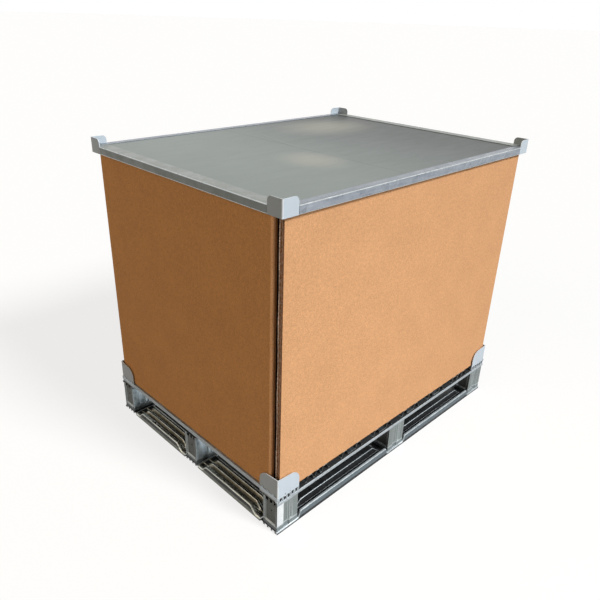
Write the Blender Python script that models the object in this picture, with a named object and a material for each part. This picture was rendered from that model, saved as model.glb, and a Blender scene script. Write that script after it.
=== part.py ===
"""Collapsible returnable box: pressed steel pallet, folding fibreboard sleeve and steel lid.

Metres, +Z up, X along the long side, origin at the centre of the footprint on the floor.
Front is -Y (a long wall), left is -X (a short wall).
"""
import math

import bmesh
import bpy
from mathutils import Matrix, Vector

# Driving sizes of the whole box
PALLET_LENGTH = 1.470
PALLET_WIDTH = 1.110
SLEEVE_HEIGHT = 1.0917
LID_OVERHANG = 0.010
SLEEVE_INSET = 0.0104
GAP = 0.0003

# Pallet base
BASE_FLAT = 0.012
BASE_RIDGE = 0.029
RUNNER_WIDTH = 0.100
RIDGE_RUN_IN = 0.022
RIDGE_SLOPE = 0.040
RIDGE_SIDE = 0.006
RIDGE_CROWN = 0.010
RIDGE_PITCH = 0.030
WIDE_RIDGE_CROWN = 0.034
WIDE_RIDGE_MIDDLE = 0.055
RIM_RUN_IN = 0.003
RIM_SLOPE = 0.015
RIM_CROWN_LONG = 0.006
RIM_CROWN_SHORT = 0.010
EDGE_ROLL = 0.004
BASE_SHEET = 0.0015

# Pallet blocks
BLOCK_LENGTH = 0.108
BLOCK_WIDTH = 0.079
BLOCK_SHEET = 0.0018
BLOCK_RECESS = 0.005
BLOCK_STRIP = 0.034
BLOCK_PANEL = 0.027
BLOCK_FLANGE = 0.009
BLOCK_DRAFT = 0.003
GROOVE_DEPTH = 0.004
GROOVE_FLOOR = 0.005
POST_FIT = 0.0015
SLOT_WIDTH = 0.0100
SLOT_HEIGHT = 0.0150
SLOT_PITCH = 0.0220
SLOT_HEAD = 0.0165
SLOT_COUNT = 3
BLOCK_HOLE = 0.0035
BLOCK_HOLE_SHIFT = 0.004
BLOCK_HOLE_LEVEL = 0.082

# Top rails and deck
RAIL_TOP = 0.155
RAIL_LIP = 0.013
RAIL_SHEET = 0.0020
END_RAIL_SETBACK = 0.030
DECK_RISE = 0.0267
DECK_SHEET = 0.0015
DECK_BOARDS = 6
DECK_BOARD_WIDTH = 0.138
DECK_END_ZONE = 0.120
DECK_INSET = 0.008
RIB_SPACING = 0.085
RIB_FOOT = 0.036
RIB_CROWN = 0.022
MIDDLE_RIB_FOOT = 0.030
END_BOARD_WIDTH = 0.100
END_SHELF = 0.030
END_FOLD = 0.003

# Bottom corner brackets
CORNER_SHEET = 0.003
CORNER_INSET = 0.002
CORNER_LONG = 0.111
CORNER_SHORT = 0.100
CORNER_HEIGHT = 0.109
CORNER_FALL = 0.006
CORNER_ROUND = 0.040

# Sleeve
BOARD = 0.018
CREASE = 0.004
JOINT_SETBACK = 0.0086
JOINT_OPENING = 0.023
JOINT_BEND = 0.0098
CORNER_BEND = 0.008
FLAP_BOARD = 0.0034
FLAP_LENGTH = 0.080
FLAP_START = 0.012

# Lid
LID_SHEET = 0.0015
LID_RAIL_SHEET = 0.0016
LID_RAIL_HEIGHT = 0.030
LID_BORDER_LONG = 0.035
LID_BORDER_SHORT = 0.053
LID_RETURN = 0.017
LID_UPSTAND = 0.010
LID_CORNER_EAR = 0.067
LID_CORNER_RISE = 0.030
LID_CORNER_ROUND = 0.018
LID_CORNER_SHEET = 0.003
JOGGLE = 0.0012
LID_SEAM = 0.642
HAT_DEPTH = 0.008
HAT_WIDTH = 0.070
HAT_CROWN = 0.040
HAT_SHEET = 0.0012
HAT_SIDE = 0.004
HAT_LEFT = 0.62
HAT_SHIFT = 0.040

# Derived sizes
HALF_L = PALLET_LENGTH / 2.0
HALF_W = PALLET_WIDTH / 2.0
DECK_FLOOR = RAIL_TOP + GAP
DECK_TOP = DECK_FLOOR + DECK_RISE
SLEEVE_BOTTOM = DECK_TOP + GAP
SLEEVE_TOP = SLEEVE_BOTTOM + SLEEVE_HEIGHT
SLEEVE_X = HALF_L - SLEEVE_INSET
SLEEVE_Y = HALF_W - SLEEVE_INSET
INNER_X = SLEEVE_X - BOARD
INNER_Y = SLEEVE_Y - BOARD
AXIS_Y = INNER_Y - CREASE
CREASE_X = SLEEVE_X + GAP
LID_X = HALF_L + LID_OVERHANG
LID_Y = HALF_W + LID_OVERHANG
HAT_BOTTOM = SLEEVE_TOP + GAP
SHEET_BOTTOM = HAT_BOTTOM + HAT_DEPTH + GAP
FLANGE_BOTTOM = SHEET_BOTTOM + LID_SHEET + GAP
LID_TOP = FLANGE_BOTTOM + LID_RAIL_SHEET
LID_BOTTOM = LID_TOP - LID_RAIL_HEIGHT
LID_CORNER_TOP = LID_TOP + LID_CORNER_RISE
BLOCK_BOTTOM = BASE_FLAT + GAP
BLOCK_TOP = RAIL_TOP - RAIL_SHEET - GAP
RAIL_WIDTH = BLOCK_WIDTH + 2.0 * (RAIL_SHEET + POST_FIT)
BLOCK_X = HALF_L - RAIL_SHEET - GAP
BLOCK_Y = HALF_W - RAIL_SHEET - POST_FIT

for old in list(bpy.data.objects):
    bpy.data.objects.remove(old, do_unlink=True)


def material(name, colour, metallic, roughness):
    """A plain Principled material in linear colour."""
    made = bpy.data.materials.new(name)
    made.use_nodes = True
    shader = made.node_tree.nodes["Principled BSDF"]
    shader.inputs["Base Color"].default_value = (*colour, 1.0)
    shader.inputs["Metallic"].default_value = metallic
    shader.inputs["Roughness"].default_value = roughness
    made.diffuse_color = (*colour, 1.0)
    return made


GALVANISED = material("galvanised_steel", (0.46, 0.48, 0.50), 0.9, 0.38)
GALVANISED_DECK = material("galvanised_deck", (0.40, 0.42, 0.44), 0.9, 0.42)
GALVANISED_BLOCK = material("galvanised_block", (0.50, 0.53, 0.55), 0.9, 0.36)
PAINTED_CORNER = material("painted_corner_steel", (0.42, 0.46, 0.50), 0.2, 0.45)
KRAFT = material("kraft_fibreboard", (0.45, 0.25, 0.12), 0.0, 0.85)
KRAFT_FLAP = material("kraft_crushed_flap", (0.38, 0.21, 0.10), 0.0, 0.9)
LID_STEEL = material("lid_sheet_steel", (0.29, 0.31, 0.30), 0.5, 0.4)
LID_RAIL_STEEL = material("lid_rail_steel", (0.42, 0.44, 0.44), 0.6, 0.35)
STIFFENER_STEEL = material("stiffener_steel", (0.30, 0.31, 0.31), 0.7, 0.45)


def finish(name, mesh_builder, surface, origin=(0.0, 0.0, 0.0)):
    """Turn a bmesh into a named object whose origin stands at `origin`."""
    bmesh.ops.recalc_face_normals(mesh_builder, faces=mesh_builder.faces)
    bmesh.ops.translate(mesh_builder, verts=mesh_builder.verts, vec=-Vector(origin))
    mesh = bpy.data.meshes.new(name)
    mesh_builder.to_mesh(mesh)
    mesh_builder.free()
    made = bpy.data.objects.new(name, mesh)
    made.location = origin
    bpy.context.scene.collection.objects.link(made)
    made.data.materials.append(surface)
    return made


def loft(sections):
    """A closed skin through equal rings of points, capped at both ends."""
    shape = bmesh.new()
    rings = [[shape.verts.new(point) for point in ring] for ring in sections]
    count = len(rings[0])
    for near, far in zip(rings, rings[1:]):
        for index in range(count):
            after = (index + 1) % count
            shape.faces.new((near[index], near[after], far[after], far[index]))
    shape.faces.new(rings[0])
    shape.faces.new(rings[-1])
    return shape


def pressed(sections):
    """A loft of sheet outlines; its twisted quads are split alike on the outer and the inner face."""
    shape = bmesh.new()
    rings = [[shape.verts.new(point) for point in ring] for ring in sections]
    count = len(rings[0])
    for near, far in zip(rings, rings[1:]):
        for index in range(count):
            after = (index + 1) % count
            if index < count // 2:
                shape.faces.new((near[index], near[after], far[after]))
                shape.faces.new((near[index], far[after], far[index]))
            else:
                shape.faces.new((near[index], near[after], far[index]))
                shape.faces.new((near[after], far[after], far[index]))
    shape.faces.new(rings[0])
    shape.faces.new(rings[-1])
    return shape


def prism(outline, place, low, high):
    """A flat outline carried straight from `low` to `high`."""
    return loft([[place(u, v, station) for u, v in outline] for station in (low, high)])


def tube(outer, inner, low, high):
    """An open tube standing on Z between two plan rings of equal length."""
    shape = bmesh.new()
    rings = [
        [shape.verts.new((x, y, z)) for x, y in ring]
        for ring, z in ((outer, low), (outer, high), (inner, high), (inner, low))
    ]
    count = len(outer)
    for number in range(4):
        near = rings[number]
        far = rings[(number + 1) % 4]
        for index in range(count):
            after = (index + 1) % count
            shape.faces.new((near[index], near[after], far[after], far[index]))
    return shape


def box(low, high):
    """An axis aligned box."""
    x0, y0, z0 = low
    x1, y1, z1 = high
    outline = ((x0, y0), (x1, y0), (x1, y1), (x0, y1))
    return prism(outline, lambda u, v, s: (u, v, s), z0, z1)


def right_normal(start, end):
    """Unit normal on the right hand of a step in the plane."""
    du = end[0] - start[0]
    dv = end[1] - start[1]
    length = math.hypot(du, dv)
    return dv / length, -du / length


def shifted(point, normals, amount):
    """A corner moved inward so that both its edges move by `amount`."""
    (au, av), (bu, bv) = normals
    mu = au + bu
    mv = av + bv
    scale = amount / (1.0 + au * bu + av * bv)
    return point[0] + mu * scale, point[1] + mv * scale


def sheet_outline(points, thickness):
    """Closed outline of a bent sheet whose outer face runs through `points`."""
    normals = [right_normal(a, b) for a, b in zip(points, points[1:])]
    inner = []
    for index, point in enumerate(points):
        before = normals[max(index - 1, 0)]
        after = normals[min(index, len(normals) - 1)]
        inner.append(shifted(point, (before, after), thickness))
    return list(points) + inner[::-1]


def inset_ring(points, thickness):
    """A closed plan ring moved inward; the outer ring runs clockwise."""
    count = len(points)
    normals = [right_normal(points[i], points[(i + 1) % count]) for i in range(count)]
    return [shifted(points[i], (normals[i - 1], normals[i]), thickness) for i in range(count)]


def combine(target, tool, operation):
    """Exact boolean of two objects; the tool is removed afterwards."""
    tool.hide_render = True
    tool.display_type = "WIRE"
    step = target.modifiers.new("cut", "BOOLEAN")
    step.operation = operation
    step.solver = "EXACT"
    step.object = tool
    bpy.context.view_layer.update()
    graph = bpy.context.evaluated_depsgraph_get()
    result = bpy.data.meshes.new_from_object(target.evaluated_get(graph))
    target.modifiers.clear()
    old = target.data
    target.data = result
    bpy.data.meshes.remove(old)
    bpy.data.objects.remove(tool, do_unlink=True)


def arc(centre, radius, start, end, steps):
    """Points on an arc between two angles in degrees."""
    points = []
    for index in range(steps + 1):
        angle = math.radians(start + (end - start) * index / steps)
        points.append((centre[0] + radius * math.cos(angle), centre[1] + radius * math.sin(angle)))
    return points


# Pallet base: pressed boards whose rims and ridges die out before every block
def ridge(middle, crown, height):
    """Outer face of one ridge about `middle`."""
    return [
        (middle - crown / 2.0 - RIDGE_SIDE, BASE_FLAT),
        (middle - crown / 2.0, height),
        (middle + crown / 2.0, height),
        (middle + crown / 2.0 + RIDGE_SIDE, BASE_FLAT),
    ]


FIRST_RIDGE = EDGE_ROLL + RIM_CROWN_SHORT + RIDGE_SIDE + EDGE_ROLL + RIDGE_PITCH / 2.0
LONG_RIDGES = ((WIDE_RIDGE_MIDDLE, WIDE_RIDGE_CROWN),)
SHORT_RIDGES = ((FIRST_RIDGE, RIDGE_CROWN), (FIRST_RIDGE + RIDGE_PITCH, RIDGE_CROWN))


def board_outline(rim_crown, ridges, rim_rise, ridge_rise):
    """Closed outline of a base board, from its raised outer rim to its inner edge."""
    rim = BASE_FLAT + BASE_RIDGE * rim_rise
    points = [
        (0.0, 0.0),
        (0.0, rim - EDGE_ROLL * (1.0 - rim_rise / 2.0)),
        (EDGE_ROLL, rim),
        (EDGE_ROLL + rim_crown, rim),
        (EDGE_ROLL + rim_crown + RIDGE_SIDE, BASE_FLAT),
    ]
    for middle, crown in ridges:
        points += ridge(middle, crown, BASE_FLAT + BASE_RIDGE * ridge_rise)
    points += [
        (RUNNER_WIDTH - EDGE_ROLL, BASE_FLAT),
        (RUNNER_WIDTH, BASE_FLAT - EDGE_ROLL),
        (RUNNER_WIDTH, 0.0),
    ]
    return sheet_outline(points, BASE_SHEET)


def bay_stations(low, high, rim_run_in, rim_slope):
    """Stations of one bay between two blocks, each with its rim rise and its ridge rise."""
    rim = rim_run_in + rim_slope
    foot = max(RIDGE_RUN_IN, rim)
    crown = foot + RIDGE_SLOPE
    near = [(rim_run_in, 0.0, 0.0), (rim, 1.0, 0.0), (foot, 1.0, 0.0), (crown, 1.0, 1.0)]
    if rim > RIDGE_RUN_IN:
        near = [(rim_run_in, 0.0, 0.0), (rim, 1.0, 1.0)]
    run = [(low + step, edge, rise) for step, edge, rise in near]
    return run + [(high - step, edge, rise) for step, edge, rise in reversed(near)]


def base_board(name, place, shape, stations):
    """One pressed base board through its stations."""
    sections = [
        [place(u, z, s) for u, z in board_outline(*shape, edge, rise)] for s, edge, rise in stations
    ]
    return finish(name, pressed(sections), GALVANISED)


BAY_X = (BLOCK_X - BLOCK_LENGTH, BLOCK_LENGTH / 2.0)
LONG_SHAPE = (RIM_CROWN_LONG, LONG_RIDGES)
SHORT_SHAPE = (RIM_CROWN_SHORT, SHORT_RIDGES)
long_stations = [(-HALF_L, 0.0, 0.0)]
long_stations += bay_stations(-BAY_X[0], -BAY_X[1], RIM_RUN_IN, RIM_SLOPE)
long_stations += bay_stations(BAY_X[1], BAY_X[0], RIM_RUN_IN, RIM_SLOPE)
long_stations += [(HALF_L, 0.0, 0.0)]
for row, start, flip in (
    ("front", -HALF_W, 1.0),
    ("middle", -RUNNER_WIDTH / 2.0, 1.0),
    ("back", HALF_W, -1.0),
):
    base_board(
        f"base_runner_{row}",
        lambda u, z, s, a=start, b=flip: (s, a + b * u, z),
        LONG_SHAPE,
        long_stations,
    )

for side, sign in (("left", -1.0), ("right", 1.0)):
    for row, toward in (("front", -1.0), ("back", 1.0)):
        near = RUNNER_WIDTH / 2.0 + GAP
        far = HALF_W - RUNNER_WIDTH - GAP
        bay = bay_stations(near, far, RIDGE_RUN_IN, RIDGE_SLOPE)
        base_board(
            f"base_end_board_{side}_{row}",
            lambda u, z, s, a=sign, b=toward: (a * (HALF_L - u), b * s, z),
            SHORT_SHAPE,
            [(near, 0.0, 0.0), *bay, (far, 0.0, 0.0)],
        )


# Pallet blocks: pressed posts with recessed faces
def block_ring():
    """Clockwise plan of a post whose pallet corner lies at (0, 0)."""
    length = BLOCK_LENGTH
    width = BLOCK_WIDTH
    deep = BLOCK_RECESS
    draft = BLOCK_DRAFT
    low = BLOCK_FLANGE
    high = width - BLOCK_FLANGE
    panel = BLOCK_STRIP + draft
    groove = panel + BLOCK_PANEL + 2.0 * draft
    side = [(0.0, 0.0), (0.0, low), (deep, low + draft), (deep, high - draft), (0.0, high)]
    back = [(0.0, width), (BLOCK_STRIP, width), (panel, width - deep)]
    back += [(panel + BLOCK_PANEL - draft, width - deep), (panel + BLOCK_PANEL, width)]
    back += [(groove, width), (groove + draft, width - GROOVE_DEPTH)]
    back += [(groove + draft + GROOVE_FLOOR, width - GROOVE_DEPTH)]
    back += [(groove + 2.0 * draft + GROOVE_FLOOR, width)]
    far = [(length, width), (length, high - draft), (length - deep, high - 2.0 * draft)]
    far += [(length - deep, low + 2.0 * draft), (length, low + draft)]
    front = [(x, width - y) for x, y in reversed(back[1:])]
    return side + back + far + [(length, 0.0)] + front


RING = block_ring()
CORE = inset_ring(RING, BLOCK_SHEET)


def window_cutter(name, reach):
    """A row of slots under the head of a post and one hole below them."""
    middle = BLOCK_WIDTH / 2.0
    low = BLOCK_TOP - SLOT_HEAD
    pieces = []
    for number in range(SLOT_COUNT):
        y = middle + (number - (SLOT_COUNT - 1) / 2.0) * SLOT_PITCH
        pieces.append(
            box(
                (-BLOCK_SHEET, y - SLOT_WIDTH / 2.0, low),
                (reach, y + SLOT_WIDTH / 2.0, low + SLOT_HEIGHT),
            )
        )
    hole = arc((middle - BLOCK_HOLE_SHIFT, BLOCK_BOTTOM + BLOCK_HOLE_LEVEL), BLOCK_HOLE, 0.0, 300.0, 5)
    pieces.append(prism(hole, lambda u, v, s: (s, u, v), -BLOCK_SHEET, reach))
    cutter = bmesh.new()
    for piece in pieces:
        mesh = bpy.data.meshes.new("piece")
        piece.to_mesh(mesh)
        piece.free()
        cutter.from_mesh(mesh)
        bpy.data.meshes.remove(mesh)
    return finish(name, cutter, GALVANISED_BLOCK)


for column, start_x, flip_x in (
    ("left", -BLOCK_X, 1.0),
    ("middle", -BLOCK_LENGTH / 2.0, 1.0),
    ("right", BLOCK_X, -1.0),
):
    for row, start_y, flip_y in (
        ("front", -BLOCK_Y, 1.0),
        ("middle", -BLOCK_WIDTH / 2.0, 1.0),
        ("back", BLOCK_Y, -1.0),
    ):
        post = finish(f"block_{column}_{row}", tube(RING, CORE, BLOCK_BOTTOM, BLOCK_TOP), GALVANISED_BLOCK)
        if column != "middle":
            combine(post, window_cutter("window_cutter", BLOCK_RECESS + 2.0 * BLOCK_SHEET), "DIFFERENCE")
        post.data.transform(Matrix.Diagonal((flip_x, flip_y, 1.0, 1.0)))
        post.data.transform(Matrix.Translation((start_x, start_y, 0.0)))
        if flip_x * flip_y < 0.0:
            post.data.flip_normals()


# Top rails: inverted channels over the posts
def rail_outline(width):
    """Closed outline of an inverted channel."""
    low = RAIL_TOP - RAIL_LIP
    points = [(0.0, low), (0.0, RAIL_TOP), (width, RAIL_TOP), (width, low)]
    return sheet_outline(points, RAIL_SHEET)


for row, start, flip in (
    ("front", -HALF_W, 1.0),
    ("middle", -RAIL_WIDTH / 2.0, 1.0),
    ("back", HALF_W, -1.0),
):
    finish(
        f"top_rail_{row}",
        prism(rail_outline(RAIL_WIDTH), lambda u, z, s, a=start, b=flip: (s, a + b * u, z), -HALF_L, HALF_L),
        GALVANISED,
    )

END_RAIL_WIDTH = BLOCK_LENGTH + RAIL_SHEET + 2.0 * GAP - END_RAIL_SETBACK
for side, sign in (("left", -1.0), ("right", 1.0)):
    for row, toward in (("front", -1.0), ("back", 1.0)):
        finish(
            f"top_end_rail_{side}_{row}",
            prism(
                rail_outline(END_RAIL_WIDTH),
                lambda u, z, s, a=sign, b=toward: (a * (HALF_L - END_RAIL_SETBACK - u), b * s, z),
                RAIL_WIDTH / 2.0 + GAP,
                HALF_W - RAIL_WIDTH - GAP,
            ),
            GALVANISED,
        )


# Deck boards: pressed sheets with open ribs that run along Y
def rib(centre, foot):
    """Top face of one rib standing on a board's floor."""
    crown = foot - (RIB_FOOT - RIB_CROWN)
    low = DECK_FLOOR + DECK_SHEET
    return [
        (centre - foot / 2.0, low),
        (centre - crown / 2.0, DECK_TOP),
        (centre + crown / 2.0, DECK_TOP),
        (centre + foot / 2.0, low),
    ]


def deck_outline(three_ribs):
    """Closed outline of a deck board about its own centre line."""
    low = DECK_FLOOR + DECK_SHEET
    points = [(-DECK_BOARD_WIDTH / 2.0, low)]
    points += rib(-RIB_SPACING / 2.0, RIB_FOOT)
    if three_ribs:
        points += rib(0.0, MIDDLE_RIB_FOOT)
    points += rib(RIB_SPACING / 2.0, RIB_FOOT)
    points += [(DECK_BOARD_WIDTH / 2.0, low)]
    return sheet_outline(points, DECK_SHEET)


DECK_END = HALF_W - DECK_INSET
DECK_PITCH = (PALLET_LENGTH - 2.0 * DECK_END_ZONE) / DECK_BOARDS
for number in range(DECK_BOARDS):
    centre = (number - (DECK_BOARDS - 1) / 2.0) * DECK_PITCH
    outer = number in (0, DECK_BOARDS - 1)
    finish(
        f"deck_board_{number + 1}",
        prism(deck_outline(outer), lambda u, z, s, c=centre: (c + u, s, z), -DECK_END, DECK_END),
        GALVANISED_DECK,
    )


def end_board_outline():
    """Closed outline of an end board with a folded outer edge; u runs inward from the pallet edge."""
    low = DECK_FLOOR + DECK_SHEET
    edge = DECK_INSET
    last = edge + END_BOARD_WIDTH
    side = (RIB_FOOT - RIB_CROWN) / 2.0
    points = [
        (edge, DECK_FLOOR),
        (edge, DECK_TOP - END_FOLD),
        (edge + END_FOLD, DECK_TOP),
        (edge + END_SHELF, DECK_TOP),
        (edge + END_SHELF + side, low),
        *rib(last - side - RIB_FOOT / 2.0, RIB_FOOT),
        (last, low),
    ]
    return sheet_outline(points, DECK_SHEET)


for side, sign in (("left", -1.0), ("right", 1.0)):
    finish(
        f"deck_end_board_{side}",
        prism(end_board_outline(), lambda u, z, s, a=sign: (a * (HALF_L - u), s, z), -DECK_END, DECK_END),
        GALVANISED_DECK,
    )


# Corner brackets: two ears with rounded shoulders, joined at the corner
def ear_outline(length, low, high, radius, fall):
    """Ear seen from its side; u = 0 is the box corner and its top falls towards the shoulder."""
    shoulder = arc((length - radius, high - fall - radius), radius, 0.0, 90.0, 6)
    return [(0.0, low), (length, low), *shoulder, (0.0, high)]


def corner_bracket(name, corner, signs, ears, levels, shoulder, thickness, surface):
    """An L shaped bracket about a box corner; `signs` point from the centre to the corner and
    `shoulder` holds the radius of the ears and the fall of their tops."""
    cx, cy = corner
    sx, sy = signs
    low, high = levels
    along_x = prism(
        ear_outline(ears[0], low, high, *shoulder),
        lambda u, z, s: (cx - sx * u, cy - sy * s, z),
        0.0,
        thickness,
    )
    along_y = prism(
        ear_outline(ears[1], low, high, *shoulder),
        lambda u, z, s: (cx - sx * s, cy - sy * u, z),
        0.0,
        thickness,
    )
    made = finish(name, along_x, surface)
    combine(made, finish("second_ear", along_y, surface), "UNION")
    return made


CORNERS = (
    ("left_front", -1.0, -1.0),
    ("right_front", 1.0, -1.0),
    ("right_back", 1.0, 1.0),
    ("left_back", -1.0, 1.0),
)
for place_name, sx, sy in CORNERS:
    corner_bracket(
        f"pallet_corner_{place_name}",
        (sx * (HALF_L - CORNER_INSET), sy * (HALF_W - CORNER_INSET)),
        (sx, sy),
        (CORNER_LONG, CORNER_SHORT),
        (RAIL_TOP + GAP, RAIL_TOP + GAP + CORNER_HEIGHT),
        (CORNER_ROUND, CORNER_FALL),
        CORNER_SHEET,
        PAINTED_CORNER,
    )


# Sleeve: long walls run over the ends of the short ones
def wall(name, outline, surface=KRAFT, origin=(0.0, 0.0, 0.0)):
    """An upright board with a plan outline."""
    return finish(name, prism(outline, lambda u, v, s: (u, v, s), SLEEVE_BOTTOM, SLEEVE_TOP), surface, origin)


BEND = CORNER_BEND
front_outline = [(-SLEEVE_X + JOINT_SETBACK, -SLEEVE_Y)]
front_outline += arc((SLEEVE_X - BEND, -SLEEVE_Y + BEND), BEND, -90.0, 0.0, 3)
front_outline += [(SLEEVE_X, -INNER_Y), (-SLEEVE_X + JOINT_SETBACK, -INNER_Y)]
wall("wall_front", front_outline, origin=(-SLEEVE_X + JOINT_SETBACK, -SLEEVE_Y, SLEEVE_BOTTOM))

back_outline = [(-SLEEVE_X, INNER_Y), (SLEEVE_X, INNER_Y)]
back_outline += arc((SLEEVE_X - BEND, SLEEVE_Y - BEND), BEND, 0.0, 90.0, 3)
back_outline += arc((-SLEEVE_X + BEND, SLEEVE_Y - BEND), BEND, 90.0, 180.0, 3)
wall("wall_back", back_outline, origin=(-INNER_X, AXIS_Y, SLEEVE_BOTTOM))

NEAR_END = INNER_Y - GAP
MIDDLE_END = GAP / 2.0
joint_end = INNER_Y - JOINT_OPENING
left_front = [(-INNER_X, -MIDDLE_END), (-SLEEVE_X, -MIDDLE_END)]
left_front += arc((-SLEEVE_X + JOINT_BEND, -joint_end + JOINT_BEND), JOINT_BEND, 180.0, 270.0, 5)
left_front += [(-INNER_X, -joint_end)]
wall("wall_left_front_half", left_front, origin=(-INNER_X, -AXIS_Y, SLEEVE_BOTTOM))
wall(
    "wall_left_back_half",
    [(-SLEEVE_X, MIDDLE_END), (-INNER_X, MIDDLE_END), (-INNER_X, NEAR_END), (-SLEEVE_X, NEAR_END)],
    origin=(-CREASE_X, 0.0, SLEEVE_BOTTOM),
)
wall(
    "wall_right_front_half",
    [(INNER_X, -NEAR_END), (SLEEVE_X, -NEAR_END), (SLEEVE_X, -MIDDLE_END), (INNER_X, -MIDDLE_END)],
    origin=(INNER_X, -AXIS_Y, SLEEVE_BOTTOM),
)
wall(
    "wall_right_back_half",
    [(INNER_X, MIDDLE_END), (SLEEVE_X, MIDDLE_END), (SLEEVE_X, NEAR_END), (INNER_X, NEAR_END)],
    origin=(INNER_X, AXIS_Y, SLEEVE_BOTTOM),
)
flap_low = -INNER_Y + GAP
wall(
    "joint_flap",
    [
        (-INNER_X + FLAP_START, flap_low),
        (-INNER_X + FLAP_START + FLAP_LENGTH, flap_low),
        (-INNER_X + FLAP_START + FLAP_LENGTH - FLAP_BOARD, flap_low + FLAP_BOARD),
        (-INNER_X + FLAP_START, flap_low + FLAP_BOARD),
    ],
    KRAFT_FLAP,
    (-INNER_X + FLAP_START, flap_low, SLEEVE_BOTTOM),
)


# Lid: channel rails about two sheets on hat stiffeners
def lid_rail_outline(step):
    """Closed outline of a lid rail; `step` sets the skirt back behind a corner ear."""
    points = [
        (LID_RETURN, LID_BOTTOM + LID_UPSTAND),
        (LID_RETURN, LID_BOTTOM),
        (step, LID_BOTTOM),
        (step, LID_TOP),
        (LID_RETURN, LID_TOP),
    ]
    return sheet_outline(points, LID_RAIL_SHEET)


STEP = LID_CORNER_SHEET + GAP
EAR_END = LID_CORNER_EAR + GAP


def lid_rail(name, place, low, high, edge):
    """One lid rail; its skirt steps back where the corner ears lie over it."""
    stations = (
        (low, STEP),
        (-edge + EAR_END, STEP),
        (-edge + EAR_END + JOGGLE, 0.0),
        (edge - EAR_END - JOGGLE, 0.0),
        (edge - EAR_END, STEP),
        (high, STEP),
    )
    sections = [[place(u, z, s) for u, z in lid_rail_outline(step)] for s, step in stations]
    return finish(name, loft(sections), LID_RAIL_STEEL)


BORDER_START = LID_RETURN + GAP
for row, sign in (("front", -1.0), ("back", 1.0)):
    lid_rail(
        f"lid_rail_{row}",
        lambda u, z, s, a=sign: (s, a * (LID_Y - u), z),
        -LID_X + STEP,
        LID_X - STEP,
        LID_X,
    )
    across = sorted((sign * (LID_Y - BORDER_START), sign * (LID_Y - LID_BORDER_LONG)))
    along = LID_X - BORDER_START
    border = box((-along, across[0], FLANGE_BOTTOM), (along, across[1], LID_TOP))
    finish(f"lid_border_{row}", border, LID_RAIL_STEEL)
for side, sign in (("left", -1.0), ("right", 1.0)):
    lid_rail(
        f"lid_rail_{side}",
        lambda u, z, s, a=sign: (a * (LID_X - u), s, z),
        -LID_Y + BORDER_START,
        LID_Y - BORDER_START,
        LID_Y,
    )
    across = sorted((sign * (LID_X - BORDER_START), sign * (LID_X - LID_BORDER_SHORT)))
    along = LID_Y - LID_BORDER_LONG - GAP
    border = box((across[0], -along, FLANGE_BOTTOM), (across[1], along, LID_TOP))
    finish(f"lid_border_{side}", border, LID_RAIL_STEEL)

SEAM_X = -LID_X + LID_SEAM
SHEET_X = LID_X - STEP - LID_RAIL_SHEET - GAP
SHEET_Y = LID_Y - STEP - LID_RAIL_SHEET - GAP
finish(
    "lid_sheet_left",
    box((-SHEET_X, -SHEET_Y, SHEET_BOTTOM), (SEAM_X - GAP / 2.0, SHEET_Y, SHEET_BOTTOM + LID_SHEET)),
    LID_STEEL,
)
finish(
    "lid_sheet_right",
    box((SEAM_X + GAP / 2.0, -SHEET_Y, SHEET_BOTTOM), (SHEET_X, SHEET_Y, SHEET_BOTTOM + LID_SHEET)),
    LID_STEEL,
)

HAT_END = LID_Y - LID_RETURN - HAT_SIDE / 2.0
HAT_TOP = SHEET_BOTTOM - GAP
hat_points = [
    (-HAT_WIDTH / 2.0, HAT_TOP),
    (-HAT_CROWN / 2.0 - HAT_SIDE, HAT_TOP),
    (-HAT_CROWN / 2.0, HAT_BOTTOM + HAT_SHEET),
    (HAT_CROWN / 2.0, HAT_BOTTOM + HAT_SHEET),
    (HAT_CROWN / 2.0 + HAT_SIDE, HAT_TOP),
    (HAT_WIDTH / 2.0, HAT_TOP),
]
hat_outline = sheet_outline(hat_points, HAT_SHEET)
hats = (("left", -LID_X * HAT_LEFT), ("seam", SEAM_X), ("right", (LID_X + SEAM_X) / 2.0 + HAT_SHIFT))
for label, centre in hats:
    finish(
        f"lid_stiffener_{label}",
        prism(hat_outline, lambda u, z, s, c=centre: (c + u, s, z), -HAT_END, HAT_END),
        STIFFENER_STEEL,
    )

for place_name, sx, sy in CORNERS:
    corner_bracket(
        f"lid_corner_{place_name}",
        (sx * LID_X, sy * LID_Y),
        (sx, sy),
        (LID_CORNER_EAR, LID_CORNER_EAR),
        (LID_BOTTOM, LID_CORNER_TOP),
        (LID_CORNER_ROUND, 0.0),
        LID_CORNER_SHEET,
        PAINTED_CORNER,
    )
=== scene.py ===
"""Looks of the collapsible returnable box: pressed steel pallet, folding board sleeve, steel lid.

Metres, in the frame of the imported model: X along the long side, front at -Y, Z up from the floor.
"""
import logging
import math
import random
from collections.abc import Callable, Iterable, Sequence
from dataclasses import dataclass
from enum import Enum

import bmesh
import bpy
from mathutils import Matrix, Vector


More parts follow.
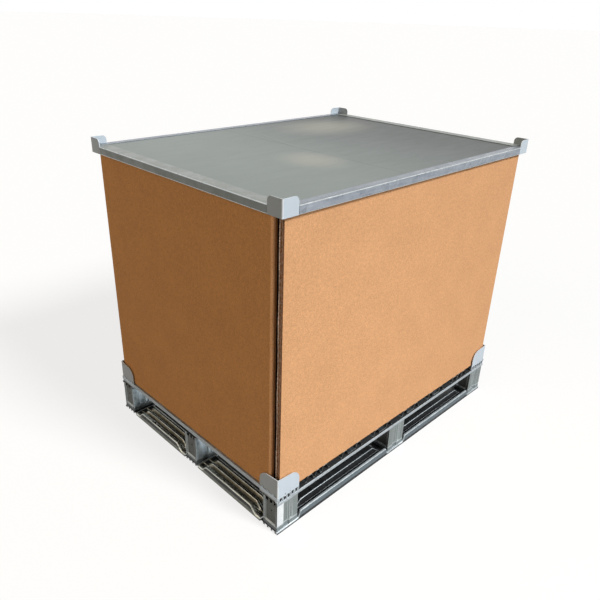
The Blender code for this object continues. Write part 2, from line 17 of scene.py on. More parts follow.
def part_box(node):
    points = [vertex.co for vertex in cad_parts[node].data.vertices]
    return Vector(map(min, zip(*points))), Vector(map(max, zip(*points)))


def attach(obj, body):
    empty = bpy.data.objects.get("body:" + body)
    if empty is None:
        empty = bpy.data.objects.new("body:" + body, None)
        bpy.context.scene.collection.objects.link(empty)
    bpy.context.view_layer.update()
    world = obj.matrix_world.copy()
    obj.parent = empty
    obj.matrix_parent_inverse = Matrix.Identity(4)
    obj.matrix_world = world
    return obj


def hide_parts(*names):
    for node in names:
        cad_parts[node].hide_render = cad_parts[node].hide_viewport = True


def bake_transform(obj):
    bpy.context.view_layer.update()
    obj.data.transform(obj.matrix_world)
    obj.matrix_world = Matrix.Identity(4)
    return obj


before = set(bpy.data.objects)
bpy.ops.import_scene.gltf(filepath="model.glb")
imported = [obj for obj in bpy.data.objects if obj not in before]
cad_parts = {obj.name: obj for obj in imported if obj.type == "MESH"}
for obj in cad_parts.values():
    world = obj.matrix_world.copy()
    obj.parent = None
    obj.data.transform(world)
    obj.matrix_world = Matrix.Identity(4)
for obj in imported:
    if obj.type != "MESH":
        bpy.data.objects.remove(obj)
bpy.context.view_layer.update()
LOG = logging.getLogger("returnable_box")

RAIL_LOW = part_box("top_rail_front")[0][2]
RAIL_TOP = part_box("top_rail_front")[1][2]
DECK_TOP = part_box("deck_board_1")[1][2]
BRACKET_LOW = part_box("pallet_corner_left_front")[0][2]
BRACKET_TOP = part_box("pallet_corner_left_front")[1][2]
BOARD_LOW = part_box("wall_front")[0][2]
BOARD_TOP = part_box("wall_front")[1][2]
LID_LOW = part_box("lid_rail_front")[0][2]
LID_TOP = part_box("lid_rail_front")[1][2]
EAR_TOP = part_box("lid_corner_left_front")[1][2]

Point = tuple[float, float]
Shape = bmesh.types.BMesh
Socket = bpy.types.NodeSocket


class Run(Enum):
    """Direction that a rolled, drawn or fluted pattern follows."""

    LENGTH = 0
    WIDTH = 1
    HEIGHT = 2


class Side(Enum):
    """Short sides of the box, with the sign of X on each."""

    LEFT = -1.0
    RIGHT = 1.0


class Row(Enum):
    """Long sides of the box, with the sign of Y on each."""

    FRONT = -1.0
    BACK = 1.0


def linear(code: str) -> tuple[float, float, float, float]:
    """Turn an sRGB hex colour into linear light.

    Args:
        code: colour such as "#C8A07A".

    Returns:
        Linear red, green, blue and an alpha of 1.
    """
    shares = [int(code[place:place + 2], 16) / 255.0 for place in (1, 3, 5)]
    light = [s / 12.92 if s <= 0.04045 else ((s + 0.055) / 1.055) ** 2.4 for s in shares]
    return light[0], light[1], light[2], 1.0


def per_mm(size: float) -> float:
    """Texture scale that gives a feature of `size` millimetres on object coordinates in metres."""
    return 1000.0 / size


def add_node(
    tree: bpy.types.NodeTree,
    kind: str,
    settings: dict[str | int, object] | None = None,
    links: dict[str | int, Socket] | None = None,
) -> bpy.types.Node:
    """Add one shader node with its settings and links.

    Args:
        tree: node tree that gets the node.
        kind: node type, such as "ShaderNodeTexNoise".
        settings: values by attribute name, or by input name or number.
        links: sockets that feed the inputs, by input name or number.

    Returns:
        The new node.
    """
    node = tree.nodes.new(kind)
    for key, value in (settings or {}).items():
        if isinstance(key, str) and key not in node.inputs:
            setattr(node, key, value)
        else:
            node.inputs[key].default_value = value
    for key, socket in (links or {}).items():
        tree.links.new(socket, node.inputs[key])
    return node


@dataclass(frozen=True)
class Finish:
    """A surface finish: a name and a colour, built as a node material."""

    name: str
    colour: str

    def start(self) -> tuple[bpy.types.Material, bpy.types.NodeTree, bpy.types.Node, Socket]:
        """Make the material.

        Returns:
            The material, its tree, its shader and the object coordinate socket.
        """
        material = bpy.data.materials.new(self.name)
        material.use_nodes = True
        tree = material.node_tree
        shader = tree.nodes["Principled BSDF"]
        place = add_node(tree, "ShaderNodeTexCoord").outputs["Object"]
        return material, tree, shader, place

    def shade(self, tree: bpy.types.NodeTree, *parts: tuple[Socket, float]) -> Socket:
        """Sum patterns about 1.

        Args:
            tree: node tree.
            parts: pattern sockets from 0 to 1, each with how far it swings the tone.

        Returns:
            Socket with the tone.
        """
        total = None
        for socket, swing in parts:
            links = {0: socket}
            settings = {"operation": "MULTIPLY_ADD", 1: swing, 2: -swing / 2.0}
            if total is None:
                settings[2] = 1.0 - swing / 2.0
                total = add_node(tree, "ShaderNodeMath", settings, links).outputs[0]
            else:
                step = add_node(tree, "ShaderNodeMath", settings, links).outputs[0]
                total = add_node(tree, "ShaderNodeMath", {"operation": "ADD"}, {0: total, 1: step}).outputs[0]
        return total

    def painted_side_shade(self, tree: bpy.types.NodeTree, colour: Socket, side: float) -> Socket:
        """Darken the faces that look along X: painted shade on the sides.

        Args:
            tree: node tree.
            colour: socket with the colour.
            side: tone of those faces, 1 for none.

        Returns:
            Socket with the toned colour.
        """
        if side == 1.0:
            return colour
        normal = add_node(tree, "ShaderNodeNewGeometry").outputs["Normal"]
        sideways = add_node(tree, "ShaderNodeSeparateXYZ", None, {0: normal}).outputs["X"]
        sideways = add_node(tree, "ShaderNodeMath", {"operation": "ABSOLUTE"}, {0: sideways}).outputs[0]
        dull = add_node(
            tree, "ShaderNodeMapRange", {"From Min": 0.75, "From Max": 0.95, "To Min": 1.0, "To Max": side},
            {"Value": sideways},
        ).outputs[0]
        return add_node(tree, "ShaderNodeHueSaturation", None, {"Color": colour, "Value": dull}).outputs[0]

    def build(self) -> bpy.types.Material:
        """Make the material."""
        raise NotImplementedError


@dataclass(frozen=True)
class KraftBoard(Finish):
    """Unbleached kraft linerboard on corrugated board, machine-formed and uncoated.

    It gives a dry, warm brown with cloudy pulp, short fibres and a faint washboard over the
    flutes; cut edges at head and foot show liners and waves of flute.
    """

    run: Run = Run.LENGTH
    face: float = 0.5446
    ply: float = 0.009
    pitch: float = 0.0085

    def build(self) -> bpy.types.Material:
        """Make the material."""
        material, tree, shader, place = self.start()
        cloud = add_node(
            tree, "ShaderNodeTexNoise", {"Scale": per_mm(140), "Detail": 3.0}, {"Vector": place}
        ).outputs[0]
        pulp = add_node(
            tree,
            "ShaderNodeTexNoise",
            {"Scale": per_mm(13), "Detail": 4.0, "Roughness": 0.8},
            {"Vector": place},
        ).outputs[0]
        # pulp flecks are about 1 mm across, and are drawn 5 mm wide so that they show
        fleck = add_node(
            tree, "ShaderNodeTexNoise", {"Scale": per_mm(5), "Detail": 1.0}, {"Vector": place}
        ).outputs[0]
        fleck = add_node(
            tree, "ShaderNodeMapRange", {"From Min": 0.35, "From Max": 0.65}, {"Value": fleck}
        ).outputs[0]
        # fibres are about 0.1 mm wide, and are drawn 2 mm wide so that they show
        turned = add_node(
            tree, "ShaderNodeMapping", {"Rotation": (0.5, 0.5, 0.6), "Scale": (1.0, 1.0, 0.28)}, {0: place}
        ).outputs[0]
        fibre = add_node(
            tree, "ShaderNodeTexNoise", {"Scale": per_mm(2.4), "Detail": 2.0}, {"Vector": turned}
        ).outputs[0]
        light_fibre = add_node(
            tree, "ShaderNodeMapRange", {"From Min": 0.60, "From Max": 0.74}, {"Value": fibre}
        ).outputs[0]
        dark_fibre = add_node(
            tree, "ShaderNodeMapRange", {"From Min": 0.40, "From Max": 0.27}, {"Value": fibre}
        ).outputs[0]
        tone = self.shade(
            tree, (cloud, 0.16), (pulp, 0.50), (fleck, 0.18), (light_fibre, 0.20), (dark_fibre, -0.10)
        )
        liner = add_node(
            tree, "ShaderNodeHueSaturation", {"Color": linear(self.colour)}, {"Value": tone}
        ).outputs[0]

        # cut edges: each ply is a wave of flute between two liners; the hollows between them are painted
        # dark, a painted shade
        axes = add_node(tree, "ShaderNodeSeparateXYZ", None, {0: place}).outputs
        along = axes["X"] if self.run is Run.LENGTH else axes["Y"]
        through = axes["Y"] if self.run is Run.LENGTH else axes["X"]
        turns = add_node(
            tree, "ShaderNodeMath", {"operation": "MULTIPLY", 1: math.tau / self.pitch}, {0: along}
        ).outputs[0]
        wave = add_node(tree, "ShaderNodeMath", {"operation": "SINE"}, {0: turns}).outputs[0]
        depth = add_node(tree, "ShaderNodeMath", {"operation": "ABSOLUTE"}, {0: through}).outputs[0]
        depth = add_node(
            tree, "ShaderNodeMath", {"operation": "SUBTRACT", 0: self.face}, {1: depth}
        ).outputs[0]
        depth = add_node(
            tree, "ShaderNodeMath", {"operation": "DIVIDE", 1: self.ply}, {0: depth}
        ).outputs[0]
        layer = add_node(tree, "ShaderNodeMath", {"operation": "FRACT"}, {0: depth}).outputs[0]
        layer = add_node(
            tree, "ShaderNodeMath", {"operation": "MULTIPLY_ADD", 1: 2.0, 2: -1.0}, {0: layer}
        ).outputs[0]
        crest = add_node(
            tree, "ShaderNodeMath", {"operation": "MULTIPLY_ADD", 1: -0.78}, {0: wave, 2: layer}
        ).outputs[0]
        off_flute = add_node(tree, "ShaderNodeMath", {"operation": "ABSOLUTE"}, {0: crest}).outputs[0]
        on_flute = add_node(
            tree, "ShaderNodeMapRange", {"From Min": 0.34, "From Max": 0.14}, {"Value": off_flute}
        ).outputs[0]
        edge_of_ply = add_node(tree, "ShaderNodeMath", {"operation": "ABSOLUTE"}, {0: layer}).outputs[0]
        on_liner = add_node(
            tree, "ShaderNodeMapRange", {"From Min": 0.84, "From Max": 0.90}, {"Value": edge_of_ply}
        ).outputs[0]
        paper = add_node(
            tree, "ShaderNodeMath", {"operation": "MAXIMUM"}, {0: on_flute, 1: on_liner}
        ).outputs[0]
        cut = add_node(
            tree,
            "ShaderNodeMix",
            {"data_type": "RGBA", 6: linear("#2A1A0F"), 7: linear("#B5906A")},
            {0: paper},
        ).outputs[2]
        normal = add_node(tree, "ShaderNodeNewGeometry").outputs["Normal"]
        upright = add_node(tree, "ShaderNodeSeparateXYZ", None, {0: normal}).outputs["Z"]
        upright = add_node(tree, "ShaderNodeMath", {"operation": "ABSOLUTE"}, {0: upright}).outputs[0]
        is_cut = add_node(
            tree, "ShaderNodeMath", {"operation": "GREATER_THAN", 1: 0.8}, {0: upright}
        ).outputs[0]
        colour = add_node(
            tree, "ShaderNodeMix", {"data_type": "RGBA"}, {0: is_cut, 6: liner, 7: cut}
        ).outputs[2]
        tree.links.new(colour, shader.inputs["Base Color"])
        grain = add_node(
            tree, "ShaderNodeBump", {"Strength": 0.35, "Distance": 0.0004}, {"Height": pulp}
        ).outputs[0]
        # the washboard over the flutes stands 0.05 mm
        board = add_node(
            tree, "ShaderNodeBump", {"Strength": 0.25, "Distance": 0.00005}, {"Height": wave, "Normal": grain}
        ).outputs[0]
        tree.links.new(board, shader.inputs["Normal"])
        shader.inputs["Roughness"].default_value = 0.88
        shader.inputs["Specular IOR Level"].default_value = 0.25
        return material


@dataclass(frozen=True)
class PaperCut(Finish):
    """Cut and crushed corrugated paper: matt, fibrous and uneven in tone."""

    shadow: str = "#4A3020"

    def build(self) -> bpy.types.Material:
        """Make the material."""
        material, tree, shader, place = self.start()
        fibre = add_node(
            tree,
            "ShaderNodeTexNoise",
            {"Scale": per_mm(5), "Detail": 4.0, "Roughness": 0.7},
            {"Vector": place},
        ).outputs[0]
        worn = add_node(
            tree, "ShaderNodeMapRange", {"From Min": 0.34, "From Max": 0.60}, {"Value": fibre}
        ).outputs[0]
        colour = add_node(
            tree,
            "ShaderNodeMix",
            {"data_type": "RGBA", 6: linear(self.shadow), 7: linear(self.colour)},
            {0: worn},
        ).outputs[2]
        tree.links.new(colour, shader.inputs["Base Color"])
        bump = add_node(
            tree, "ShaderNodeBump", {"Strength": 0.5, "Distance": 0.0006}, {"Height": fibre}
        ).outputs[0]
        tree.links.new(bump, shader.inputs["Normal"])
        shader.inputs["Roughness"].default_value = 0.92
        shader.inputs["Specular IOR Level"].default_value = 0.2
        return material


@dataclass(frozen=True)
class GalvanisedSheet(Finish):
    """Hot-dip galvanised steel sheet, cold-rolled and pressed.

    Zinc spangles of differing tone and gloss, with drawing streaks along the pressing, give a
    grey-blue metal under a dull film of patina that flickers between bright and dark bands. The
    faces that look along X may take a painted shade, darker than the rest.
    """

    shadow: str = "#5C6468"
    run: Run = Run.LENGTH
    spangle: float = 14.0
    streak: float = 0.5
    roughness: float = 0.34
    metal: float = 0.6
    side: float = 1.0
    flake: float = 0.25
    mottle: float = 1.0

    def build(self) -> bpy.types.Material:
        """Make the material."""
        material, tree, shader, place = self.start()
        large = add_node(
            tree,
            "ShaderNodeTexVoronoi",
            {"Scale": per_mm(self.spangle), "Randomness": 1.0},
            {"Vector": place},
        ).outputs["Color"]
        small = add_node(
            tree, "ShaderNodeTexVoronoi", {"Scale": per_mm(self.spangle / 2.6)}, {"Vector": place}
        ).outputs["Color"]
        large = add_node(tree, "ShaderNodeSeparateColor", None, {0: large}).outputs[0]
        small = add_node(tree, "ShaderNodeSeparateColor", None, {0: small}).outputs[1]
        stretch = [1.0, 1.0, 1.0]
        stretch[self.run.value] = 0.05
        drawn = add_node(tree, "ShaderNodeMapping", {"Scale": stretch}, {0: place}).outputs[0]
        streaks = add_node(
            tree,
            "ShaderNodeTexNoise",
            {"Scale": per_mm(7), "Detail": 4.0, "Roughness": 0.65},
            {"Vector": drawn},
        ).outputs[0]
        streaks = add_node(
            tree, "ShaderNodeMapRange", {"From Min": 0.36, "From Max": 0.66}, {"Value": streaks}
        ).outputs[0]
        bloom = add_node(
            tree, "ShaderNodeTexNoise", {"Scale": per_mm(70), "Detail": 3.0}, {"Vector": place}
        ).outputs[0]
        tone = self.shade(
            tree,
            (large, 0.26 * self.mottle),
            (small, 0.18 * self.mottle),
            (streaks, self.streak),
            (bloom, 0.5),
        )
        mask = add_node(
            tree, "ShaderNodeMapRange", {"From Min": 0.55, "From Max": 1.35}, {"Value": tone}
        ).outputs[0]
        colour = add_node(
            tree,
            "ShaderNodeMix",
            {"data_type": "RGBA", 6: linear(self.shadow), 7: linear(self.colour)},
            {0: mask},
        ).outputs[2]
        colour = self.painted_side_shade(tree, colour, self.side)
        tree.links.new(colour, shader.inputs["Base Color"])
        gloss = add_node(
            tree,
            "ShaderNodeMapRange",
            {"To Min": self.roughness - 0.10, "To Max": self.roughness + 0.14},
            {"Value": large},
        ).outputs[0]
        tree.links.new(gloss, shader.inputs["Roughness"])
        grain = add_node(
            tree, "ShaderNodeBump", {"Strength": 1.4 * self.flake, "Distance": 0.0005}, {"Height": streaks}
        ).outputs[0]
        flake = add_node(
            tree,
            "ShaderNodeBump",
            {"Strength": self.flake, "Distance": 0.0002},
            {"Height": small, "Normal": grain},
        ).outputs[0]
        tree.links.new(flake, shader.inputs["Normal"])
        shader.inputs["Metallic"].default_value = self.metal
        return material


@dataclass(frozen=True)
class PowderCoat(Finish):
    """Polyester powder coat on steel, sprayed and baked.

    A satin light grey with fine orange peel and handling scuffs.
    """

    scuff: str = "#A9B0B6"
    # tone of the faces that look along X: a painted shade there
    side: float = 1.0

    def build(self) -> bpy.types.Material:
        """Make the material."""
        material, tree, shader, place = self.start()
        haze = add_node(
            tree, "ShaderNodeTexNoise", {"Scale": per_mm(45), "Detail": 4.0}, {"Vector": place}
        ).outputs[0]
        # orange peel is about 1 mm across, and is drawn at 3 mm so that it shows
        peel = add_node(
            tree, "ShaderNodeTexNoise", {"Scale": per_mm(3), "Detail": 2.0}, {"Vector": place}
        ).outputs[0]
        turned = add_node(
            tree, "ShaderNodeMapping", {"Rotation": (0.3, 0.2, 0.4), "Scale": (0.12, 0.12, 1.0)}, {0: place}
        ).outputs[0]
        marks = add_node(
            tree,
            "ShaderNodeTexNoise",
            {"Scale": per_mm(3), "Detail": 5.0, "Roughness": 0.8},
            {"Vector": turned},
        ).outputs[0]
        marks = add_node(
            tree, "ShaderNodeMapRange", {"From Min": 0.60, "From Max": 0.72, "To Max": 0.6}, {"Value": marks}
        ).outputs[0]
        tone = self.shade(tree, (haze, 0.16), (peel, 0.04))
        paint = add_node(
            tree, "ShaderNodeHueSaturation", {"Color": linear(self.colour)}, {"Value": tone}
        ).outputs[0]
        colour = add_node(
            tree, "ShaderNodeMix", {"data_type": "RGBA", 7: linear(self.scuff)}, {0: marks, 6: paint}
        ).outputs[2]
        colour = self.painted_side_shade(tree, colour, self.side)
        tree.links.new(colour, shader.inputs["Base Color"])
        gloss = add_node(
            tree, "ShaderNodeMapRange", {"To Min": 0.34, "To Max": 0.50}, {"Value": haze}
        ).outputs[0]
        tree.links.new(gloss, shader.inputs["Roughness"])
        bump = add_node(
            tree, "ShaderNodeBump", {"Strength": 0.12, "Distance": 0.0003}, {"Height": peel}
        ).outputs[0]
        tree.links.new(bump, shader.inputs["Normal"])
        return material


@dataclass(frozen=True)
class LidSheetCoat(Finish):
    """Zinc-coated sheet with a thin matt lacquer, roller-coated.

    A dull green-grey metal with soft reflections that wander where the sheet is not quite flat,
    wiping marks, fine scratches, the dark line of the lap and one pressed wrinkle. Two warm light
    patches are painted reflections, and the sheet is painted darker towards +X.
    """

    seam: float = -0.103
    wrinkle_start: Point = (-0.104, 0.028)
    wrinkle_end: Point = (-0.029, 0.387)
    painted_reflections: tuple[tuple[float, float, float, float], ...] = (
        (0.36, 0.30, 0.34, 0.24),
        (-0.22, -0.17, 0.17, 0.20),
    )
    # how far the sheet is painted darker towards +X, a painted darker reflection
    darkening: float = -1.3

    def build(self) -> bpy.types.Material:
        """Make the material."""
        material, tree, shader, place = self.start()
        cloud = add_node(
            tree, "ShaderNodeTexNoise", {"Scale": per_mm(260), "Detail": 3.0}, {"Vector": place}
        ).outputs[0]
        wiped = add_node(
            tree, "ShaderNodeMapping", {"Rotation": (0.0, 0.0, 0.35), "Scale": (0.25, 1.0, 1.0)}, {0: place}
        ).outputs[0]
        wipe = add_node(
            tree,
            "ShaderNodeTexNoise",
            {"Scale": per_mm(38), "Detail": 5.0, "Roughness": 0.7},
            {"Vector": wiped},
        ).outputs[0]
        scored = add_node(
            tree, "ShaderNodeMapping", {"Rotation": (0.0, 0.0, -0.5), "Scale": (0.02, 1.0, 1.0)}, {0: place}
        ).outputs[0]
        # scratches are hair-thin, and are drawn 1.5 mm wide so that they show
        scratch = add_node(
            tree,
            "ShaderNodeTexNoise",
            {"Scale": per_mm(4), "Detail": 3.0, "Roughness": 0.8},
            {"Vector": scored},
        ).outputs[0]
        scratch = add_node(
            tree, "ShaderNodeMapRange", {"From Min": 0.70, "From Max": 0.80}, {"Value": scratch}
        ).outputs[0]
        speck = add_node(
            tree, "ShaderNodeTexNoise", {"Scale": per_mm(6), "Detail": 3.0}, {"Vector": place}
        ).outputs[0]

        start = Vector(self.wrinkle_start)
        step = Vector(self.wrinkle_end) - start
        length = step.length
        step = step.normalized()
        side = Vector((step.y, -step.x))
        moved = add_node(
            tree,
            "ShaderNodeVectorMath",
            {"operation": "SUBTRACT", 1: (start.x, start.y, 0.0)},
            {0: place},
        ).outputs[0]
        along = add_node(
            tree, "ShaderNodeVectorMath", {"operation": "DOT_PRODUCT", 1: (step.x, step.y, 0.0)}, {0: moved}
        ).outputs[1]
        across = add_node(
            tree, "ShaderNodeVectorMath", {"operation": "DOT_PRODUCT", 1: (side.x, side.y, 0.0)}, {0: moved}
        ).outputs[1]
        across = add_node(tree, "ShaderNodeMath", {"operation": "ABSOLUTE"}, {0: across}).outputs[0]
        crease = add_node(
            tree,
            "ShaderNodeMapRange",
            {"interpolation_type": "SMOOTHSTEP", "From Min": 0.007, "From Max": 0.0},
            {"Value": across},
        ).outputs[0]
        middle = add_node(
            tree, "ShaderNodeMath", {"operation": "SUBTRACT", 1: length / 2.0}, {0: along}
        ).outputs[0]
        middle = add_node(tree, "ShaderNodeMath", {"operation": "ABSOLUTE"}, {0: middle}).outputs[0]
        inside = add_node(
            tree,
            "ShaderNodeMapRange",
            {"From Min": length / 2.0, "From Max": length / 2.0 - 0.05},
            {"Value": middle},
        ).outputs[0]
        crease = add_node(
            tree, "ShaderNodeMath", {"operation": "MULTIPLY"}, {0: crease, 1: inside}
        ).outputs[0]

        axes = add_node(tree, "ShaderNodeSeparateXYZ", None, {0: place}).outputs
        lap = add_node(
            tree, "ShaderNodeMath", {"operation": "SUBTRACT", 1: self.seam}, {0: axes["X"]}
        ).outputs[0]
        lap = add_node(tree, "ShaderNodeMath", {"operation": "ABSOLUTE"}, {0: lap}).outputs[0]
        lap = add_node(
            tree,
            "ShaderNodeMapRange",
            {"From Min": 0.0030, "From Max": 0.0012, "To Max": 0.55},
            {"Value": lap},
        ).outputs[0]
        # the sheet grows darker towards +X: a painted darker reflection
        right_shade = add_node(
            tree,
            "ShaderNodeMapRange",
            {"interpolation_type": "SMOOTHSTEP", "From Min": -0.5, "From Max": 0.75},
            {"Value": axes["X"]},
        ).outputs[0]
        tone = self.shade(
            tree,
            (cloud, 0.18),
            (wipe, 0.20),
            (speck, 0.06),
            (scratch, 0.12),
            (crease, 0.10),
            (lap, -0.45),
            (right_shade, self.darkening),
        )
        colour = add_node(
            tree, "ShaderNodeHueSaturation", {"Color": linear(self.colour)}, {"Value": tone}
        ).outputs[0]
        # two painted reflections: soft warm light patches mixed into the colour
        for x, y, reach_x, reach_y in self.painted_reflections:
            spread = add_node(
                tree,
                "ShaderNodeMapping",
                {"vector_type": "POINT", "Location": (-x / reach_x, -y / reach_y, 0.0),
                 "Scale": (1.0 / reach_x, 1.0 / reach_y, 0.0)},
                {0: place},
            ).outputs[0]
            away = add_node(tree, "ShaderNodeVectorMath", {"operation": "LENGTH"}, {0: spread}).outputs[1]
            thin = add_node(
                tree,
                "ShaderNodeMapRange",
                {"interpolation_type": "SMOOTHSTEP", "From Min": 1.0, "From Max": 0.1, "To Max": 0.42},
                {"Value": away},
            ).outputs[0]
            colour = add_node(
                tree, "ShaderNodeMix", {"data_type": "RGBA", 7: linear("#B9B5A4")}, {0: thin, 6: colour}
            ).outputs[2]
        tree.links.new(colour, shader.inputs["Base Color"])
        gloss = add_node(
            tree, "ShaderNodeMapRange", {"To Min": 0.34, "To Max": 0.52}, {"Value": wipe}
        ).outputs[0]
        tree.links.new(gloss, shader.inputs["Roughness"])
        warp = add_node(
            tree, "ShaderNodeBump", {"Strength": 0.5, "Distance": 0.004}, {"Height": cloud}
        ).outputs[0]
        ridge = add_node(
            tree, "ShaderNodeBump", {"Strength": 0.6, "Distance": 0.0015}, {"Height": crease, "Normal": warp}
        ).outputs[0]
        tree.links.new(ridge, shader.inputs["Normal"])
        shader.inputs["Metallic"].default_value = 0.75
        return material


@dataclass(frozen=True)
class StudioFloor(Finish):
    """Matt white studio floor: even, pale, and it keeps the object's shadow."""

    lift: float = 0.2
    covered: tuple[float, float] = (0.735, 0.555)
    blend: float = 0.05

    def build(self) -> bpy.types.Material:
        """Make the material."""
        material, tree, shader, place = self.start()
        shader.inputs["Base Color"].default_value = linear(self.colour)
        shader.inputs["Roughness"].default_value = 0.9
        shader.inputs["Specular IOR Level"].default_value = 0.0
        path = add_node(tree, "ShaderNodeLightPath").outputs
        axes = add_node(tree, "ShaderNodeSeparateXYZ", None, {0: place}).outputs
        beyond = []
        for axis, half in zip("XY", self.covered):
            away = add_node(tree, "ShaderNodeMath", {"operation": "ABSOLUTE"}, {0: axes[axis]}).outputs[0]
            past = add_node(tree, "ShaderNodeMath", {"operation": "SUBTRACT", 1: half}, {0: away})
            beyond.append(past.outputs[0])
        outside = add_node(
            tree, "ShaderNodeMath", {"operation": "MAXIMUM"}, {0: beyond[0], 1: beyond[1]}
        ).outputs[0]
        # the eye sees the floor below the pallet in the pallet's own shadow, without the lift
        open_floor = add_node(
            tree, "ShaderNodeMapRange", {"From Min": -self.blend, "From Max": 0.0}, {"Value": outside}
        ).outputs[0]
        seen = add_node(
            tree, "ShaderNodeMath", {"operation": "MULTIPLY"}, {0: path["Is Camera Ray"], 1: open_floor}
        ).outputs[0]
        seen = add_node(
            tree, "ShaderNodeMath", {"operation": "MAXIMUM"}, {0: seen, 1: path["Is Glossy Ray"]}
        ).outputs[0]
        seen = add_node(
            tree, "ShaderNodeMath", {"operation": "MAXIMUM"}, {0: seen, 1: path["Is Transmission Ray"]}
        ).outputs[0]
        strength = add_node(
            tree, "ShaderNodeMath", {"operation": "MULTIPLY", 1: self.lift}, {0: seen}
        ).outputs[0]
        glow = add_node(tree, "ShaderNodeEmission", None, {"Strength": strength})
        both = add_node(tree, "ShaderNodeAddShader", None, {0: shader.outputs[0], 1: glow.outputs[0]})
        tree.links.new(both.outputs[0], tree.nodes["Material Output"].inputs["Surface"])
        return material


def make_piece(
    name: str,
    shape: Shape,
    surface: bpy.types.Material,
    body: str | None = None,
    smooth: float = 35.0,
    bright: bpy.types.Material | None = None,
    others: Sequence[bpy.types.Material] = (),
) -> bpy.types.Object:
    """Turn a bmesh into a piece of the scene.

    Args:
        name: name of the piece.
        shape: bmesh with the piece in place; it is freed.
        surface: material of the piece.
        body: body that the piece rides on, or None for one that rides on none.
        smooth: edges sharper than this angle, in degrees, stay sharp.
        bright: material of the faces whose material number is 1, such as folds.
        others: materials of the faces whose numbers follow.

    Returns:
        The new object.
    """
    shape.edges.index_update()
    cut_edges = [e.index for e in shape.edges if e.is_boundary]
    mesh = bpy.data.meshes.new(name)
    shape.to_mesh(mesh)
    shape.free()
    mesh.materials.append(surface)
    if bright is not None:
        mesh.materials.append(bright)
    for other in others:
        mesh.materials.append(other)
    mesh.shade_smooth()
    mesh.set_sharp_from_angle(angle=math.radians(smooth))
    for number in cut_edges:
        mesh.edges[number].use_edge_sharp = True
    piece = bpy.data.objects.new(name, mesh)
    bpy.context.scene.collection.objects.link(piece)
    if body is not None:
        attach(piece, body)
    LOG.info("piece %s: %d faces", name, len(mesh.polygons))
    return piece


def give_gauge(
    piece: bpy.types.Object, gauge: float, edge: float = 0.0, lined: bool = False, rim: int | None = None
) -> None:
    """Thicken a sheet inward and break its cut edges.

    Args:
        piece: sheet piece whose faces point outward.
        gauge: sheet thickness.
        edge: size of the broken edge, or 0 for none.
        lined: whether the inner side gets the piece's last material.
        rim: material number of the cut edges, counted from the sheet's own.
    """
    wall = piece.modifiers.new("gauge", "SOLIDIFY")
    wall.thickness = gauge
    wall.offset = -1.0
    wall.use_even_offset = True
    wall.use_quality_normals = True
    if lined:
        wall.material_offset = len(piece.data.materials)
    if rim is not None:
        wall.material_offset_rim = rim
    if edge > 0.0:
        soften(piece, edge, 55.0)


def soften(piece: bpy.types.Object, width: float, angle: float = 30.0, segments: int = 2) -> None:
    """Round the edges of a piece with a modifier.

    Args:
        piece: object to soften.
        width: width of the rounding.
        angle: edges sharper than this angle, in degrees, are rounded.
        segments: steps across the rounding.
    """
    bevel = piece.modifiers.new("soft_edges", "BEVEL")
    bevel.width = width
    bevel.segments = segments
    bevel.limit_method = "ANGLE"
    bevel.angle_limit = math.radians(angle)
    bevel.use_clamp_overlap = True
    bevel.harden_normals = False


def add_block(
    shape: Shape, low: Vector, high: Vector, edge: float = 0.0, segments: int = 2
) -> list[bmesh.types.BMVert]:
    """Add an axis-aligned block with rounded edges to a bmesh.

    Args:
        shape: bmesh that gets the block.
        low: lowest corner.
        high: highest corner.
        edge: radius of its edges, or 0 for sharp ones.
        segments: steps across each rounding.

    Returns:
        The vertices of the block before it was rounded.
    """
    size = high - low
    place = Matrix.Translation((low + high) / 2.0) @ Matrix.Diagonal((*size, 1.0))
    made = bmesh.ops.create_cube(shape, size=1.0, matrix=place)["verts"]
    if edge > 0.0:
        edges = list({e for v in made for e in v.link_edges})
        bmesh.ops.bevel(
            shape,
            geom=edges,
            offset=edge,
            offset_type="OFFSET",
            segments=segments,
            profile=0.5,
            affect="EDGES",
            clamp_overlap=True,
            material=-1,
        )
    return made


def placing(run: Vector, inward: Vector, origin: Vector) -> Matrix:
    """Matrix that carries a sheet drawn along X, inward along Y and up along Z to its place."""
    up = Vector((0.0, 0.0, 1.0))
    turn = Matrix((run, inward, up)).transposed()
    return Matrix.Translation(origin) @ turn.to_4x4()


